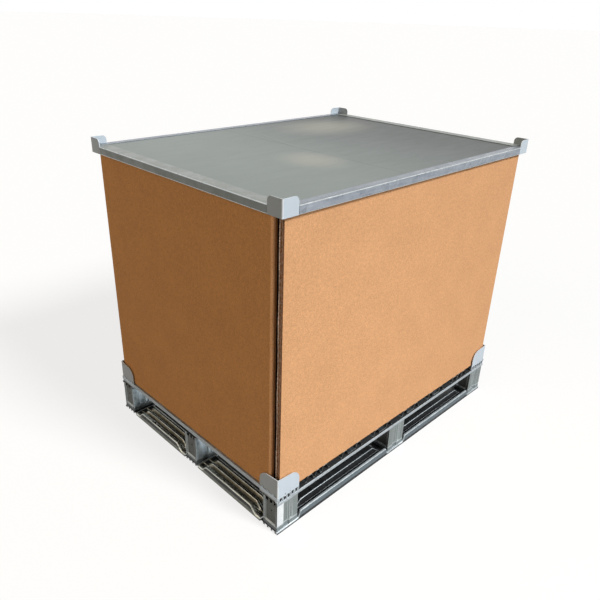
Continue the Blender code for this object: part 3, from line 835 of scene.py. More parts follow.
@dataclass
class BentSheet:
    """A sheet folded along straight lines, drawn as its outer face.

    Attributes:
        corners: profile points (inward, up); the steel lies on the right of the line.
        bend: radius of the folds.
        segments: steps across a fold.
        highlight_folds: whether the folds get the piece's second material, a painted highlight.
        zones: material number of the strip that starts at a corner, by corner number.
    """

    corners: Sequence[Point]
    bend: float = 0.002
    segments: int = 3
    highlight_folds: bool = False
    zones: dict[int, int] | None = None

    def draw(
        self,
        stations: Sequence[float],
        place: Matrix,
        move: Callable[[int, Point, float], Point] | None = None,
    ) -> Shape:
        """Draw the outer face through its stations.

        Args:
            stations: positions along the run.
            place: matrix from the sheet's frame to the box's.
            move: gives corner number, its point and the station, and gets the point there.

        Returns:
            A bmesh whose faces point outward.
        """
        sheet = bmesh.new()

        def at(number: int, station: float) -> Vector:
            """Corner `number` at a station."""
            point = self.corners[number]
            if move is not None:
                point = move(number, point, station)
            return Vector((station, point[0], point[1]))

        chain = [sheet.verts.new(at(number, stations[0])) for number in range(len(self.corners))]
        edges = [sheet.edges.new(pair) for pair in zip(chain, chain[1:])]
        for station in stations[1:]:
            made = bmesh.ops.extrude_edge_only(sheet, edges=edges)["geom"]
            fresh = {v for v in made if isinstance(v, bmesh.types.BMVert)}
            ahead: list[bmesh.types.BMVert] = []
            for vert in chain:
                ahead.append(next(e.other_vert(vert) for e in vert.link_edges if e.other_vert(vert) in fresh))
            for number, vert in enumerate(ahead):
                vert.co = at(number, station)
            edges = [
                next(e for e in a.link_edges if e.other_vert(a) is b) for a, b in zip(ahead, ahead[1:])
            ]
            for number, zone in (self.zones or {}).items():
                edges[number].link_faces[0].material_index = zone
            chain = ahead
        sheet.normal_update()
        near = (at(0, stations[0]), at(1, stations[0]), at(0, stations[1]), at(1, stations[1]))
        centre = sum(near, Vector()) / 4.0
        first = min(sheet.faces, key=lambda f: (f.calc_center_median() - centre).length)
        step = near[1] - near[0]
        outward = Vector((0.0, -step.z, step.y))
        if first.normal.dot(outward) < 0.0:
            bmesh.ops.reverse_faces(sheet, faces=sheet.faces[:])
        folds = [
            e
            for e in sheet.edges
            if len(e.link_faces) == 2
            and abs(e.verts[0].co.x - e.verts[1].co.x) > 1e-6
            and e.calc_face_angle(0.0) > math.radians(6.0)
        ]
        if folds and self.bend > 0.0:
            curved = bmesh.ops.bevel(
                sheet,
                geom=folds,
                offset=self.bend,
                offset_type="OFFSET",
                segments=self.segments,
                profile=0.5,
                affect="EDGES",
                clamp_overlap=True,
                material=-1,
            )["faces"]
            if self.highlight_folds:
                for face in curved:
                    face.material_index = 1
        bmesh.ops.transform(sheet, matrix=place, verts=sheet.verts)
        if place.to_3x3().determinant() < 0.0:
            bmesh.ops.reverse_faces(sheet, faces=sheet.faces[:])
        sheet.normal_update()
        return sheet


@dataclass(frozen=True)
class BoardTones:
    """Which materials a base board's faces take, by their numbers, and how round its folds are.

    Args:
        wall: number for the ridges' outer walls.
        crown: number for the ridges' crowns.
        level: height at which the rim's face changes.
        above: number for the rim's face above that height.
        below: number for the rim's face below that height.
        bend: radius of the folds.
    """

    wall: int
    crown: int
    level: float
    above: int
    below: int
    bend: float


@dataclass
class BaseBoards:
    """Pressed boards that the pallet stands on, with rims and ridges that rise between the posts."""

    half_length: float = 0.735
    half_width: float = 0.555
    width: float = 0.100
    flat: float = 0.012
    rise: float = 0.029
    gauge: float = 0.0015
    side: float = 0.006
    run_in: float = 0.022
    slope: float = 0.040
    rim_run_in: float = 0.003
    rim_slope: float = 0.015
    post_x: float = 0.7327
    post_length: float = 0.108
    slope_steps: int = 5
    clearance: float = 0.0003
    runner_form: tuple[float, Sequence[Point]] = (0.006, ((0.061, 0.034),))
    end_form: tuple[float, Sequence[Point]] = (0.010, ((0.039, 0.010), (0.069, 0.010)))
    # painted shade: the runners' sheet, crowns and rim face below `level` take near-black sheets, as do the
    # end boards' sheet, crowns and rim face above `level`; the end boards' ridge walls take a painted
    # reflection
    runner_tones: BoardTones = BoardTones(wall=0, crown=3, level=0.0135, above=2, below=0, bend=0.0022)
    end_tones: BoardTones = BoardTones(wall=3, crown=0, level=0.0185, above=0, below=2, bend=0.0034)

    def corners(self, rim_crown: float, ridges: Sequence[Point]) -> tuple[list[Point], dict[int, int]]:
        """Outer face of a flat board, from its outer foot to its inner foot.

        Args:
            rim_crown: width of the rim's crown.
            ridges: middle and crown width of each ridge.

        Returns:
            The profile, and for each corner that rises 1 if it is on the rim and 2 on a ridge.
        """
        low = self.flat
        points = [(0.0, 0.0), (0.0, low - 0.004), (0.004, low), (0.004 + rim_crown, low)]
        points.append((0.004 + rim_crown + self.side, low))
        rising = {1: 1, 2: 1, 3: 1}
        for middle, crown in ridges:
            start = len(points)
            half = crown / 2.0
            points += [(middle - half - self.side, low), (middle - half, low)]
            points += [(middle + half, low), (middle + half + self.side, low)]
            rising |= {start + 1: 2, start + 2: 2}
        points += [(self.width - 0.004, low), (self.width, low - 0.004), (self.width, 0.0)]
        return points, rising

    def bay(
        self, low: float, high: float, rim_run_in: float, rim_slope: float
    ) -> list[tuple[float, float, float]]:
        """Stations of one bay between two posts, each with its share of the rim and of the ridge."""
        marks = {rim_run_in + rim_slope * n / self.slope_steps for n in range(self.slope_steps + 1)}
        marks |= {self.run_in + self.slope * n / self.slope_steps for n in range(self.slope_steps + 1)}
        near = []
        for mark in sorted(marks):
            rim = min(max((mark - rim_run_in) / rim_slope, 0.0), 1.0)
            ridge = min(max((mark - self.run_in) / self.slope, 0.0), 1.0)
            near.append((mark, rim * rim * (3.0 - 2.0 * rim), ridge * ridge * (3.0 - 2.0 * ridge)))
        return [(low + m, a, b) for m, a, b in near] + [(high - m, a, b) for m, a, b in reversed(near)]

    def board(
        self,
        name: str,
        place: Matrix,
        form: tuple[float, Sequence[Point]],
        tones: BoardTones,
        bays: list[tuple[float, float, float]],
        surfaces: Sequence[bpy.types.Material],
    ) -> bpy.types.Object:
        """Press one board.

        Args:
            name: CAD node that the board stands for.
            place: matrix from the sheet's frame to the box's.
            form: crown of the rim, and the ridges.
            tones: material numbers of the ridges and of the rim's face, and the radius of the folds.
            bays: stations with their shares of the rim and of the ridges.
            surfaces: materials of the sheet, of its folds, of the rim's face and of the ridges.

        Returns:
            The board.
        """
        corners, rising = self.corners(*form)
        shares = {station: (0.0, rim, ridge) for station, rim, ridge in bays}

        def lift(number: int, point: Point, station: float) -> Point:
            """Raise a corner by its share."""
            share = shares[station][rising.get(number, 0)]
            extra = self.rise * share
            if number == 1:
                extra += 0.002 * share
            return point[0], point[1] + extra

        crowns = [number for number, kind in rising.items() if kind == 2 and rising.get(number + 1) == 2]
        # the rim's rounded top takes the fold material: painted highlight
        zones = {0: 2, 1: 1, 2: 1}
        for number in crowns:
            zones |= {number - 1: tones.wall, number: tones.crown}
        sheet = BentSheet(corners, bend=tones.bend, segments=3, highlight_folds=True, zones=zones)
        shape = sheet.draw([s for s, _, _ in bays], place, lift)
        divide(shape, Vector((0.0, 0.0, 1.0)), tones.level)
        for face in shape.faces:
            if face.material_index == 2:
                high = face.calc_center_median().z > tones.level
                face.material_index = tones.above if high else tones.below
        piece = make_piece(f"pressed_{name}", shape, surfaces[0], "pallet", 40.0, surfaces[1], surfaces[2:])
        give_gauge(piece, self.gauge)
        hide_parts(name)
        return piece

    def build(self, along: Sequence[bpy.types.Material], across: Sequence[bpy.types.Material]) -> None:
        """Press all seven boards.

        Args:
            along: materials of the three runners: sheet, folds, rim face and crowns.
            across: materials of the four end boards: sheet, folds, rim face and crowns.
        """
        right = Vector((1.0, 0.0, 0.0))
        back = Vector((0.0, 1.0, 0.0))
        edge = self.post_x - self.post_length
        middle = self.post_length / 2.0
        bays = [(-self.half_length, 0.0, 0.0)]
        bays += self.bay(-edge, -middle, self.rim_run_in, self.rim_slope)
        bays += self.bay(middle, edge, self.rim_run_in, self.rim_slope)
        bays += [(self.half_length, 0.0, 0.0)]
        for label, start, inward in (
            ("front", -self.half_width, back),
            ("middle", -self.width / 2.0, back),
            ("back", self.half_width, -back),
        ):
            place = placing(right, inward, Vector((0.0, start, 0.0)))
            name = f"base_runner_{label}"
            self.board(name, place, self.runner_form, self.runner_tones, bays, along)
        near = self.width / 2.0 + self.clearance
        far = self.half_width - self.width - self.clearance
        run = [(near, 0.0, 0.0), *self.bay(near, far, self.run_in, self.slope), (far, 0.0, 0.0)]
        for side in Side:
            for row in Row:
                place = placing(
                    back * row.value, right * -side.value, Vector((side.value * self.half_length, 0.0, 0.0))
                )
                name = f"base_end_board_{side.name.lower()}_{row.name.lower()}"
                self.board(name, place, self.end_form, self.end_tones, run, across)

    def end_tabs(self, surface: bpy.types.Material) -> None:
        """Close each runner's end with the tabs of the post above, with arches between them."""
        for side in Side:
            for row, middle in (("front", -0.5120), ("middle", 0.0), ("back", 0.5120)):
                shape = bmesh.new()
                out = side.value * self.half_length
                across = sorted((out - side.value * 0.0002, out - side.value * 0.0020))
                for number in range(4):
                    centre = middle + (number - 1.5) * 0.022
                    wide = 0.0095 if number in (0, 3) else 0.0075
                    add_block(
                        shape,
                        Vector((across[0], centre - wide / 2.0, 0.0006)),
                        Vector((across[1], centre + wide / 2.0, self.flat - self.gauge - 0.0002)),
                        0.0006,
                    )
                make_piece(f"foot_tabs_{side.name.lower()}_{row}", shape, surface, "pallet")


def divide(sheet: Shape, direction: Vector, reach: float) -> None:
    """Cut a sheet's faces along the plane that stands `reach` out from the origin in a direction."""
    everything = sheet.verts[:] + sheet.edges[:] + sheet.faces[:]
    bmesh.ops.bisect_plane(sheet, geom=everything, plane_co=direction * reach, plane_no=direction)


@dataclass
class CornerBracket:
    """A bent corner ear with rounded shoulders.

    Attributes:
        name: CAD node that it stands for.
        corner: outer corner of the box.
        ears: reach along X and along Y.
        levels: lower and upper end.
        shoulder: radius of the free corners.
        gauge: sheet thickness.
        body: body that it rides on.
        fall: how far the top of an ear falls towards its free corner.
        windows: how many clinching windows each ear has at its foot.
        marks: axis and reach of each small punch mark above the windows.
    """

    name: str
    corner: Point
    ears: Point
    levels: Point
    shoulder: float
    gauge: float
    body: str
    fall: float = 0.0
    windows: tuple[int, int] = (0, 0)
    marks: tuple[tuple[int, float], ...] = ()
    bend: float = 0.0045
    window_low: float = 0.0025
    window_high: float = 0.0185
    window_width: float = 0.0125
    window_pitch: float = 0.0200
    window_start: float = 0.0100
    mark_low: float = 0.0230
    mark_size: float = 0.0045

    def opened(self, sheet: Shape) -> None:
        """Cut the clinching windows and the punch marks at the foot of both ears."""
        low = self.levels[0] + self.window_low
        high = self.levels[0] + self.window_high
        holes: list[tuple[int, Point, Point]] = []
        for axis in (0, 1):
            for number in range(self.windows[axis]):
                start = self.window_start + number * self.window_pitch
                holes.append((axis, (start, start + self.window_width), (low, high)))
        for axis, start in self.marks:
            level = self.levels[0] + self.mark_low
            holes.append((axis, (start, start + self.mark_size), (level, level + self.mark_size)))
        up = Vector((0.0, 0.0, 1.0))
        for axis, span, levels in holes:
            along = Vector((1.0 - axis, float(axis), 0.0))
            for direction, reach in ((up, levels[0]), (up, levels[1]), (along, span[0]), (along, span[1])):
                divide(sheet, direction, reach)
        doomed = []
        for face in sheet.faces:
            middle = face.calc_center_median()
            for axis, span, levels in holes:
                on_ear = abs(middle[1 - axis]) < 1e-4
                if on_ear and span[0] < middle[axis] < span[1] and levels[0] < middle.z < levels[1]:
                    doomed.append(face)
        bmesh.ops.delete(sheet, geom=doomed, context="FACES")

    def build(self, surface: bpy.types.Material, bright: bpy.types.Material) -> bpy.types.Object:
        """Bend the bracket and put it in place.

        Args:
            surface: material.
            bright: material of the bend and of the cut edges, a painted highlight.

        Returns:
            The bracket.
        """
        low, high = self.levels
        sheet = bmesh.new()
        chain = [
            sheet.verts.new((self.ears[0], 0.0, low)),
            sheet.verts.new((0.0, 0.0, low)),
            sheet.verts.new((0.0, self.ears[1], low)),
        ]
        edges = [sheet.edges.new(pair) for pair in zip(chain, chain[1:])]
        made = bmesh.ops.extrude_edge_only(sheet, edges=edges)["geom"]
        fresh = [v for v in made if isinstance(v, bmesh.types.BMVert)]
        bmesh.ops.translate(sheet, verts=fresh, vec=(0.0, 0.0, high - low))
        shoulders = [v for v in fresh if max(v.co.x, v.co.y) > 0.01]
        bmesh.ops.translate(sheet, verts=shoulders, vec=(0.0, 0.0, -self.fall))
        bmesh.ops.bevel(
            sheet,
            geom=shoulders,
            offset=self.shoulder,
            offset_type="OFFSET",
            segments=12,
            profile=0.5,
            affect="VERTICES",
            clamp_overlap=False,
            material=-1,
        )
        fold = [e for e in sheet.edges if all(abs(v.co.x) < 1e-6 and abs(v.co.y) < 1e-6 for v in e.verts)]
        curved = bmesh.ops.bevel(
            sheet,
            geom=fold,
            offset=self.bend,
            offset_type="OFFSET",
            segments=5,
            profile=0.5,
            affect="EDGES",
            clamp_overlap=False,
            material=-1,
        )["faces"]
        for face in curved:
            face.material_index = 1
        if self.windows != (0, 0):
            self.opened(sheet)
        signs = Vector((math.copysign(1.0, self.corner[0]), math.copysign(1.0, self.corner[1])))
        place = Matrix.Translation((self.corner[0], self.corner[1], 0.0)) @ Matrix.Diagonal(
            (-signs.x, -signs.y, 1.0, 1.0)
        )
        bmesh.ops.transform(sheet, matrix=place, verts=sheet.verts)
        bmesh.ops.recalc_face_normals(sheet, faces=sheet.faces[:])
        sheet.normal_update()
        largest = max(sheet.faces, key=lambda f: f.calc_area())
        outward = Vector((signs.x, 0.0, 0.0))
        if abs(largest.normal.y) > abs(largest.normal.x):
            outward = Vector((0.0, signs.y, 0.0))
        if largest.normal.dot(outward) < 0.0:
            bmesh.ops.reverse_faces(sheet, faces=sheet.faces[:])
        piece = make_piece(f"bent_{self.name}", sheet, surface, self.body, 30.0, bright)
        give_gauge(piece, self.gauge, 0.0007, rim=1)
        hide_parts(self.name)
        return piece


@dataclass
class PressedPost:
    """A post folded from one sheet, with recessed faces, a swaged foot and slots under its head.

    Attributes:
        name: CAD node that it stands for.
        corner: the post's outer corner in plan.
        signs: direction from that corner to the post's middle, along X and Y.
        slotted: whether the face of the short side has slots and a hole.
        highlight_strip: whether the strip at the pallet's corner takes a painted highlight.
        inward: side of the post (0 its front, 1 its back) that looks towards the box's front from inside the
        pallet, which takes a painted light, or None.
    """

    name: str
    corner: Point
    signs: Point
    slotted: bool
    highlight_strip: bool = False
    inward: int | None = None
    length: float = 0.108
    width: float = 0.079
    low: float = 0.0123
    high: float = RAIL_TOP - 0.0023
    gauge: float = 0.0018
    deep: float = 0.005
    draft: float = 0.003
    flange: float = 0.009
    strip: float = 0.034
    panel: float = 0.027
    groove: float = 0.005
    groove_deep: float = 0.004
    seam: float = 0.020
    foot: float = 0.036
    swage: float = 0.006
    slot: Point = (0.0125, 0.0215)
    slot_pitch: float = 0.0220
    foot_slot: tuple[float, float, float, float] = (0.037, 0.066, 0.0145, 0.0215)

    def ring(self) -> list[Point]:
        """Plan of the post from its seam right round, with the steel on the right."""
        far = self.width - self.deep
        first = self.strip + self.draft
        second = first + self.panel + 2.0 * self.draft
        third = second + 2.0 * self.draft + self.groove
        inner = [
            (self.strip, self.width),
            (first, far),
            (first + self.panel - self.draft, far),
            (first + self.panel, self.width),
            (second, self.width),
            (second + self.draft, self.width - self.groove_deep),
            (third - self.draft, self.width - self.groove_deep),
            (third, self.width),
        ]
        outer = [(x, self.width - y) for x, y in reversed(inner)]
        step = self.length - self.deep
        end = [
            (self.length, self.width),
            (self.length, self.width - self.flange - self.draft),
            (step, self.width - self.flange - 2.0 * self.draft),
            (step, self.flange + 2.0 * self.draft),
            (self.length, self.flange + self.draft),
            (self.length, 0.0),
        ]
        side = [
            (0.0, 0.0),
            (0.0, self.flange),
            (self.deep, self.flange + self.draft),
            (self.deep, self.width - self.flange - self.draft),
            (0.0, self.width - self.flange),
            (0.0, self.width),
        ]
        return [(self.seam, self.width), *inner, *end, *outer, *side, (self.seam, self.width)]

    def punched(self, shape: Shape) -> None:
        """Cut the slots under the head and the slot in the foot."""
        up = Vector((0.0, 0.0, 1.0))
        holes: list[tuple[int, Point, Point, Point]] = []
        if self.slotted:
            top = self.high - 0.0012
            for number in range(3):
                middle = self.width / 2.0 + (number - 1.0) * self.slot_pitch
                span = (middle - self.slot[0] / 2.0, middle + self.slot[0] / 2.0)
                holes.append((1, span, (top - self.slot[1], top), (-0.001, self.deep + 0.001)))
            centre = self.width / 2.0 - 0.004
            holes.append((1, (centre - 0.003, centre + 0.003), (0.091, 0.097), (-0.001, self.deep + 0.001)))
            centre = self.width - self.flange - 0.001
            holes.append((1, (centre - 0.003, centre + 0.003), (0.026, 0.031), (-0.001, self.deep + 0.001)))
            start, end, low, high = self.foot_slot
            holes.append((0, (start, end), (low, high), (-0.001, 0.001)))
        for axis, span, levels, _ in holes:
            along = Vector((1.0 - axis, float(axis), 0.0))
            for direction, reach in ((along, span[0]), (along, span[1]), (up, levels[0]), (up, levels[1])):
                divide(shape, direction, reach)
        doomed = []
        for face in shape.faces:
            middle = face.calc_center_median()
            for axis, span, levels, depth in holes:
                inside = span[0] < middle[axis] < span[1] and levels[0] < middle.z < levels[1]
                if inside and depth[0] < middle[1 - axis] < depth[1]:
                    doomed.append(face)
        bmesh.ops.delete(shape, geom=doomed, context="FACES")

    def zones(self, shape: Shape) -> None:
        """Number the faces by their material.

        The numbers are 0 panels, 1 folds, 2 the outer strip, 3 the deep faces, 4 the foot, 5 the inward face.

        Args:
            shape: the folded post in its own frame.
        """
        for face in shape.faces:
            x, y, z = face.calc_center_median()
            to_front = abs(face.normal.y) > 0.6 and y < self.deep + 0.001
            to_back = abs(face.normal.y) > 0.6 and y > self.width - self.deep - 0.001
            to_inside = {None: False, 0: to_front, 1: to_back}[self.inward]
            if z < self.foot - self.swage:
                face.material_index = 4
            elif z < self.foot:
                face.material_index = 1
            elif to_inside:
                face.material_index = 5
            elif face.material_index == 1:
                continue
            elif to_front and y < 0.001 and x < self.strip and self.highlight_strip:
                face.material_index = 2
            elif abs(face.normal.x) > 0.9 and y < self.width - self.flange:
                face.material_index = 3
            elif to_front and y > 0.001 and x > self.strip + self.panel:
                face.material_index = 3

    def build(self, surfaces: Sequence[bpy.types.Material]) -> None:
        """Fold the post and put it in place.

        Args:
            surfaces: materials of the panels, folds, outer strip, deep faces, foot, inward face and inside.
        """
        upright = Matrix(((0.0, 1.0, 0.0), (0.0, 0.0, 1.0), (1.0, 0.0, 0.0))).to_4x4()

        def move(number: int, point: Point, station: float) -> Point:
            """Leave the foot plain, without recesses."""
            x, y = point
            if station < self.foot - self.swage + 1e-6:
                x = 0.0 if x <= self.deep else x
                x = self.length if x >= self.length - self.deep else x
                y = 0.0 if y <= self.deep else y
                y = self.width if y >= self.width - self.deep else y
            return x, y

        stations = [self.low, self.foot - self.swage, self.foot, self.high - 0.024, self.high]
        shape = BentSheet(self.ring(), bend=0.0011, segments=2, highlight_folds=True).draw(stations, upright, move)
        self.punched(shape)
        shape.normal_update()
        self.zones(shape)
        place = Matrix.Translation((*self.corner, 0.0)) @ Matrix.Diagonal((*self.signs, 1.0, 1.0))
        bmesh.ops.transform(shape, matrix=place, verts=shape.verts)
        if self.signs[0] * self.signs[1] < 0.0:
            bmesh.ops.reverse_faces(shape, faces=shape.faces[:])
        piece = make_piece(
            f"folded_{self.name}", shape, surfaces[0], "pallet", 30.0, surfaces[1], surfaces[2:]
        )
        give_gauge(piece, self.gauge, lined=True)
        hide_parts(self.name)


@dataclass
class Pallet:
    """Everything of the pressed steel pallet above its base boards."""

    half_length: float = 0.735
    half_width: float = 0.555
    bracket_inset: float = 0.002
    ear_long: float = 0.111
    ear_short: float = 0.100
    shoulder: float = 0.040
    fall: float = 0.009
    windows: tuple[int, int] = (5, 0)
    marks: tuple[tuple[int, float], ...] = ((0, 0.037), (0, 0.061), (1, 0.022), (1, 0.060))
    tooth_width: float = 0.0070
    tooth_height: float = 0.0180
    tooth_thick: float = 0.0016
    rail_sheet: float = 0.0020
    rail_width: float = 0.086
    post_x: float = 0.7327
    post_y: float = 0.5515
    edge_inset: float = 0.0003
    edge_foot: float = 0.1655
    cut_edge: float = 0.0025
    end_zones: float = 0.240
    board_half: float = 0.069
    rib_spread: float = 0.0425
    rib_half: float = 0.018
    middle_rib_half: float = 0.015
    rib_draft: float = 0.007

    def posts(self, surfaces: Sequence[bpy.types.Material]) -> None:
        """Fold the nine posts."""
        for column, start_x, sign_x in (
            ("left", -self.post_x, 1.0),
            ("middle", -PressedPost.length / 2.0, 1.0),
            ("right", self.post_x, -1.0),
        ):
            for row, start_y, sign_y in (
                ("front", -self.post_y, 1.0),
                ("middle", -PressedPost.width / 2.0, 1.0),
                ("back", self.post_y, -1.0),
            ):
                post = PressedPost(
                    f"block_{column}_{row}",
                    (start_x, start_y),
                    (sign_x, sign_y),
                    slotted=column != "middle",
                    highlight_strip=(column, row) == ("left", "front"),
                    inward={"middle": 0, "back": 1}.get(row),
                )
                post.build(surfaces)

    def dress_nodes(self, rails: bpy.types.Material) -> None:
        """Give the carried-over end rails a dark finish, a painted shade, and soft edges."""
        for name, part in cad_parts.items():
            if name.startswith("top_end"):
                dress(part, rails, 0.0008)

    def end_boards(self, surface: bpy.types.Material, bright: bpy.types.Material) -> None:
        """Press the deck's two end boards, whose folded edge runs on in front of the ears."""
        back = Vector((0.0, 1.0, 0.0))
        right = Vector((1.0, 0.0, 0.0))
        low = RAIL_TOP + 0.0018
        reach = self.half_width - 0.008
        ear_end = self.half_width - self.bracket_inset - self.ear_short - 0.0006
        corners = [
            (self.edge_inset, self.edge_foot),
            (self.edge_inset, DECK_TOP),
            (0.038, DECK_TOP),
            (0.045, low),
            (0.072, low),
            (0.079, DECK_TOP),
            (0.101, DECK_TOP),
            (0.108, low),
        ]

        def move(number: int, point: Point, station: float) -> Point:
            """Set the folded edge back behind the ears."""
            u, v = point
            if number < 2 and abs(station) > ear_end + 1e-6:
                u = 0.0056
            return u, v

        for side in Side:
            place = placing(back, right * -side.value, Vector((side.value * self.half_length, 0.0, 0.0)))
            stations = [-reach, -ear_end - 0.0002, -ear_end, 0.0, ear_end, ear_end + 0.0002, reach]
            shape = BentSheet(corners, bend=0.0022, segments=3, highlight_folds=True).draw(stations, place, move)
            name = f"deck_end_board_{side.name.lower()}"
            piece = make_piece(f"pressed_{name}", shape, surface, "pallet", 35.0, bright)
            give_gauge(piece, 0.0014)
            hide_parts(name)
            out = side.value * (self.half_length - self.edge_inset)
            across = sorted((out, out - side.value * 0.0014))
            for row in Row:
                along = sorted((row.value * (ear_end + 0.0002), row.value * (self.half_width - 0.0006)))
                shape = bmesh.new()
                low_corner = Vector((across[0], along[0], self.edge_foot))
                high_corner = Vector((across[1], along[1], DECK_TOP - 0.0004))
                add_block(shape, low_corner, high_corner, 0.0006)
                for number in range(3):
                    middle = row.value * (ear_end + 0.018 + 0.029 * number)
                    low_corner = Vector((across[0], middle - 0.0045, DECK_TOP - 0.002))
                    high_corner = Vector((across[1], middle + 0.0045, DECK_TOP + 0.007))
                    add_block(shape, low_corner, high_corner, 0.0006)
                # these blocks take the fold material: painted highlight
                make_piece(f"edge_over_ear_{side.name.lower()}_{row.name.lower()}", shape, bright, "pallet")

    def deck(self, surfaces: Sequence[bpy.types.Material]) -> None:
        """Press the six deck boards, whose open ribs end in cut edges with a painted highlight and whose
        underside takes a painted shade.

        Args:
            surfaces: materials of the sheet, of its cut ends and of its underside.
        """
        back = Vector((0.0, 1.0, 0.0))
        right = Vector((1.0, 0.0, 0.0))
        low = RAIL_TOP + 0.0018
        reach = self.half_width - 0.008
        pitch = (2.0 * self.half_length - self.end_zones) / 6.0
        for number in range(6):
            centre = (number - 2.5) * pitch
            corners = [(-self.board_half, low)]
            ribs = [(-self.rib_spread, self.rib_half), (self.rib_spread, self.rib_half)]
            if number in (0, 5):
                ribs.insert(1, (0.0, self.middle_rib_half))
            for middle, half in ribs:
                corners += [(middle - half, low), (middle - half + self.rib_draft, DECK_TOP)]
                corners += [(middle + half - self.rib_draft, DECK_TOP), (middle + half, low)]
            corners.append((self.board_half, low))
            place = placing(back, right, Vector((centre, 0.0, 0.0)))
            ends = (-reach, -reach + self.cut_edge, 0.0, reach - self.cut_edge, reach)
            shape = BentSheet(corners, bend=0.0022, segments=3).draw(ends, place)
            for face in shape.faces:
                if abs(face.calc_center_median().y) > reach - self.cut_edge:
                    face.material_index = 1
            name = f"deck_board_{number + 1}"
            piece = make_piece(
                f"pressed_{name}", shape, surfaces[0], "pallet", 35.0, surfaces[1], surfaces[2:]
            )
            give_gauge(piece, 0.0014, lined=True, rim=1)
            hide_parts(name)

    def window_backs(self, surface: bpy.types.Material) -> None:
        """Stand a dark web behind the windows of the brackets: a painted shade in the windows."""
        for side in Side:
            for row in Row:
                shape = bmesh.new()
                out = side.value * (self.half_length - self.bracket_inset - 0.006)
                along = sorted((out, out - side.value * (self.ear_long - 0.012)))
                edge = row.value * (self.half_width - 0.0056)
                across = sorted((edge, edge - row.value * -0.0012))
                add_block(
                    shape,
                    Vector((along[0], across[0], BRACKET_LOW + 0.0008)),
                    Vector((along[1], across[1], DECK_TOP + 0.0120)),
                    0.0004,
                )
                name = f"web_behind_windows_{side.name.lower()}_{row.name.lower()}"
                make_piece(name, shape, surface, "pallet")

    def rails(
        self, surface: bpy.types.Material, bright: bpy.types.Material, dark: bpy.types.Material
    ) -> None:
        """Roll the three long top rails: their outer faces and folds take a painted highlight and their tops
        a painted shade.
        """
        right = Vector((1.0, 0.0, 0.0))
        back = Vector((0.0, 1.0, 0.0))
        corners = [(0.0, RAIL_LOW), (0.0, RAIL_TOP), (self.rail_width, RAIL_TOP), (self.rail_width, RAIL_LOW)]
        for label, start, inward in (
            ("front", -self.half_width, back),
            ("middle", -self.rail_width / 2.0, back),
            ("back", self.half_width, -back),
        ):
            # the outer face takes the fold material, a painted highlight, and the top the dark sheet, a
            # painted shade
            sheet = BentSheet(corners, bend=0.0032, segments=4, highlight_folds=True, zones={0: 1, 1: 2})
            stations = [-self.half_length, -0.4, 0.0, 0.4, self.half_length]
            shape = sheet.draw(stations, placing(right, inward, Vector((0.0, start, 0.0))))
            piece = make_piece(f"rolled_top_rail_{label}", shape, surface, "pallet", 35.0, bright, (dark,))
            give_gauge(piece, self.rail_sheet, 0.0006)
            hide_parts(f"top_rail_{label}")

    def brackets(self, surface: bpy.types.Material, bright: bpy.types.Material) -> None:
        """Bend the four corner brackets."""
        for side in Side:
            for row in Row:
                bracket = CornerBracket(
                    name=f"pallet_corner_{side.name.lower()}_{row.name.lower()}",
                    corner=(
                        side.value * (self.half_length - self.bracket_inset),
                        row.value * (self.half_width - self.bracket_inset),
                    ),
                    ears=(self.ear_long, self.ear_short),
                    levels=(BRACKET_LOW, BRACKET_TOP),
                    shoulder=self.shoulder,
                    gauge=0.003,
                    body="pallet",
                    fall=self.fall,
                    windows=self.windows,
                    marks=self.marks,
                )
                bracket.build(surface, bright)

    def teeth(self, surface: bpy.types.Material) -> None:
        """Turn up the clinched teeth of the rail between the windows of each bracket."""
        low = RAIL_TOP - 0.0005
        high = BRACKET_LOW + self.tooth_height
        for side in Side:
            for row in Row:
                shape = bmesh.new()
                out_x = side.value * (self.half_length - self.bracket_inset)
                out_y = row.value * (self.half_width - self.bracket_inset)
                for axis, count in enumerate(self.windows):
                    for number in range(count + 1):
                        reach = 0.0070 + number * 0.0200
                        sign, edge = (side.value, out_y) if axis == 0 else (row.value, out_x)
                        middle = (out_x if axis == 0 else out_y) - sign * reach
                        away = row.value if axis == 0 else side.value
                        across = sorted((edge - away * 0.0002, edge + away * self.tooth_thick))
                        along = (middle - self.tooth_width / 2.0, middle + self.tooth_width / 2.0)
                        spans = (along, across) if axis == 0 else (across, along)
                        add_block(
                            shape,
                            Vector((spans[0][0], spans[1][0], low)),
                            Vector((spans[0][1], spans[1][1], high)),
                            0.0007,
                        )
                # the teeth take the fold material: painted highlight
                make_piece(f"rail_teeth_{side.name.lower()}_{row.name.lower()}", shape, surface, "pallet")


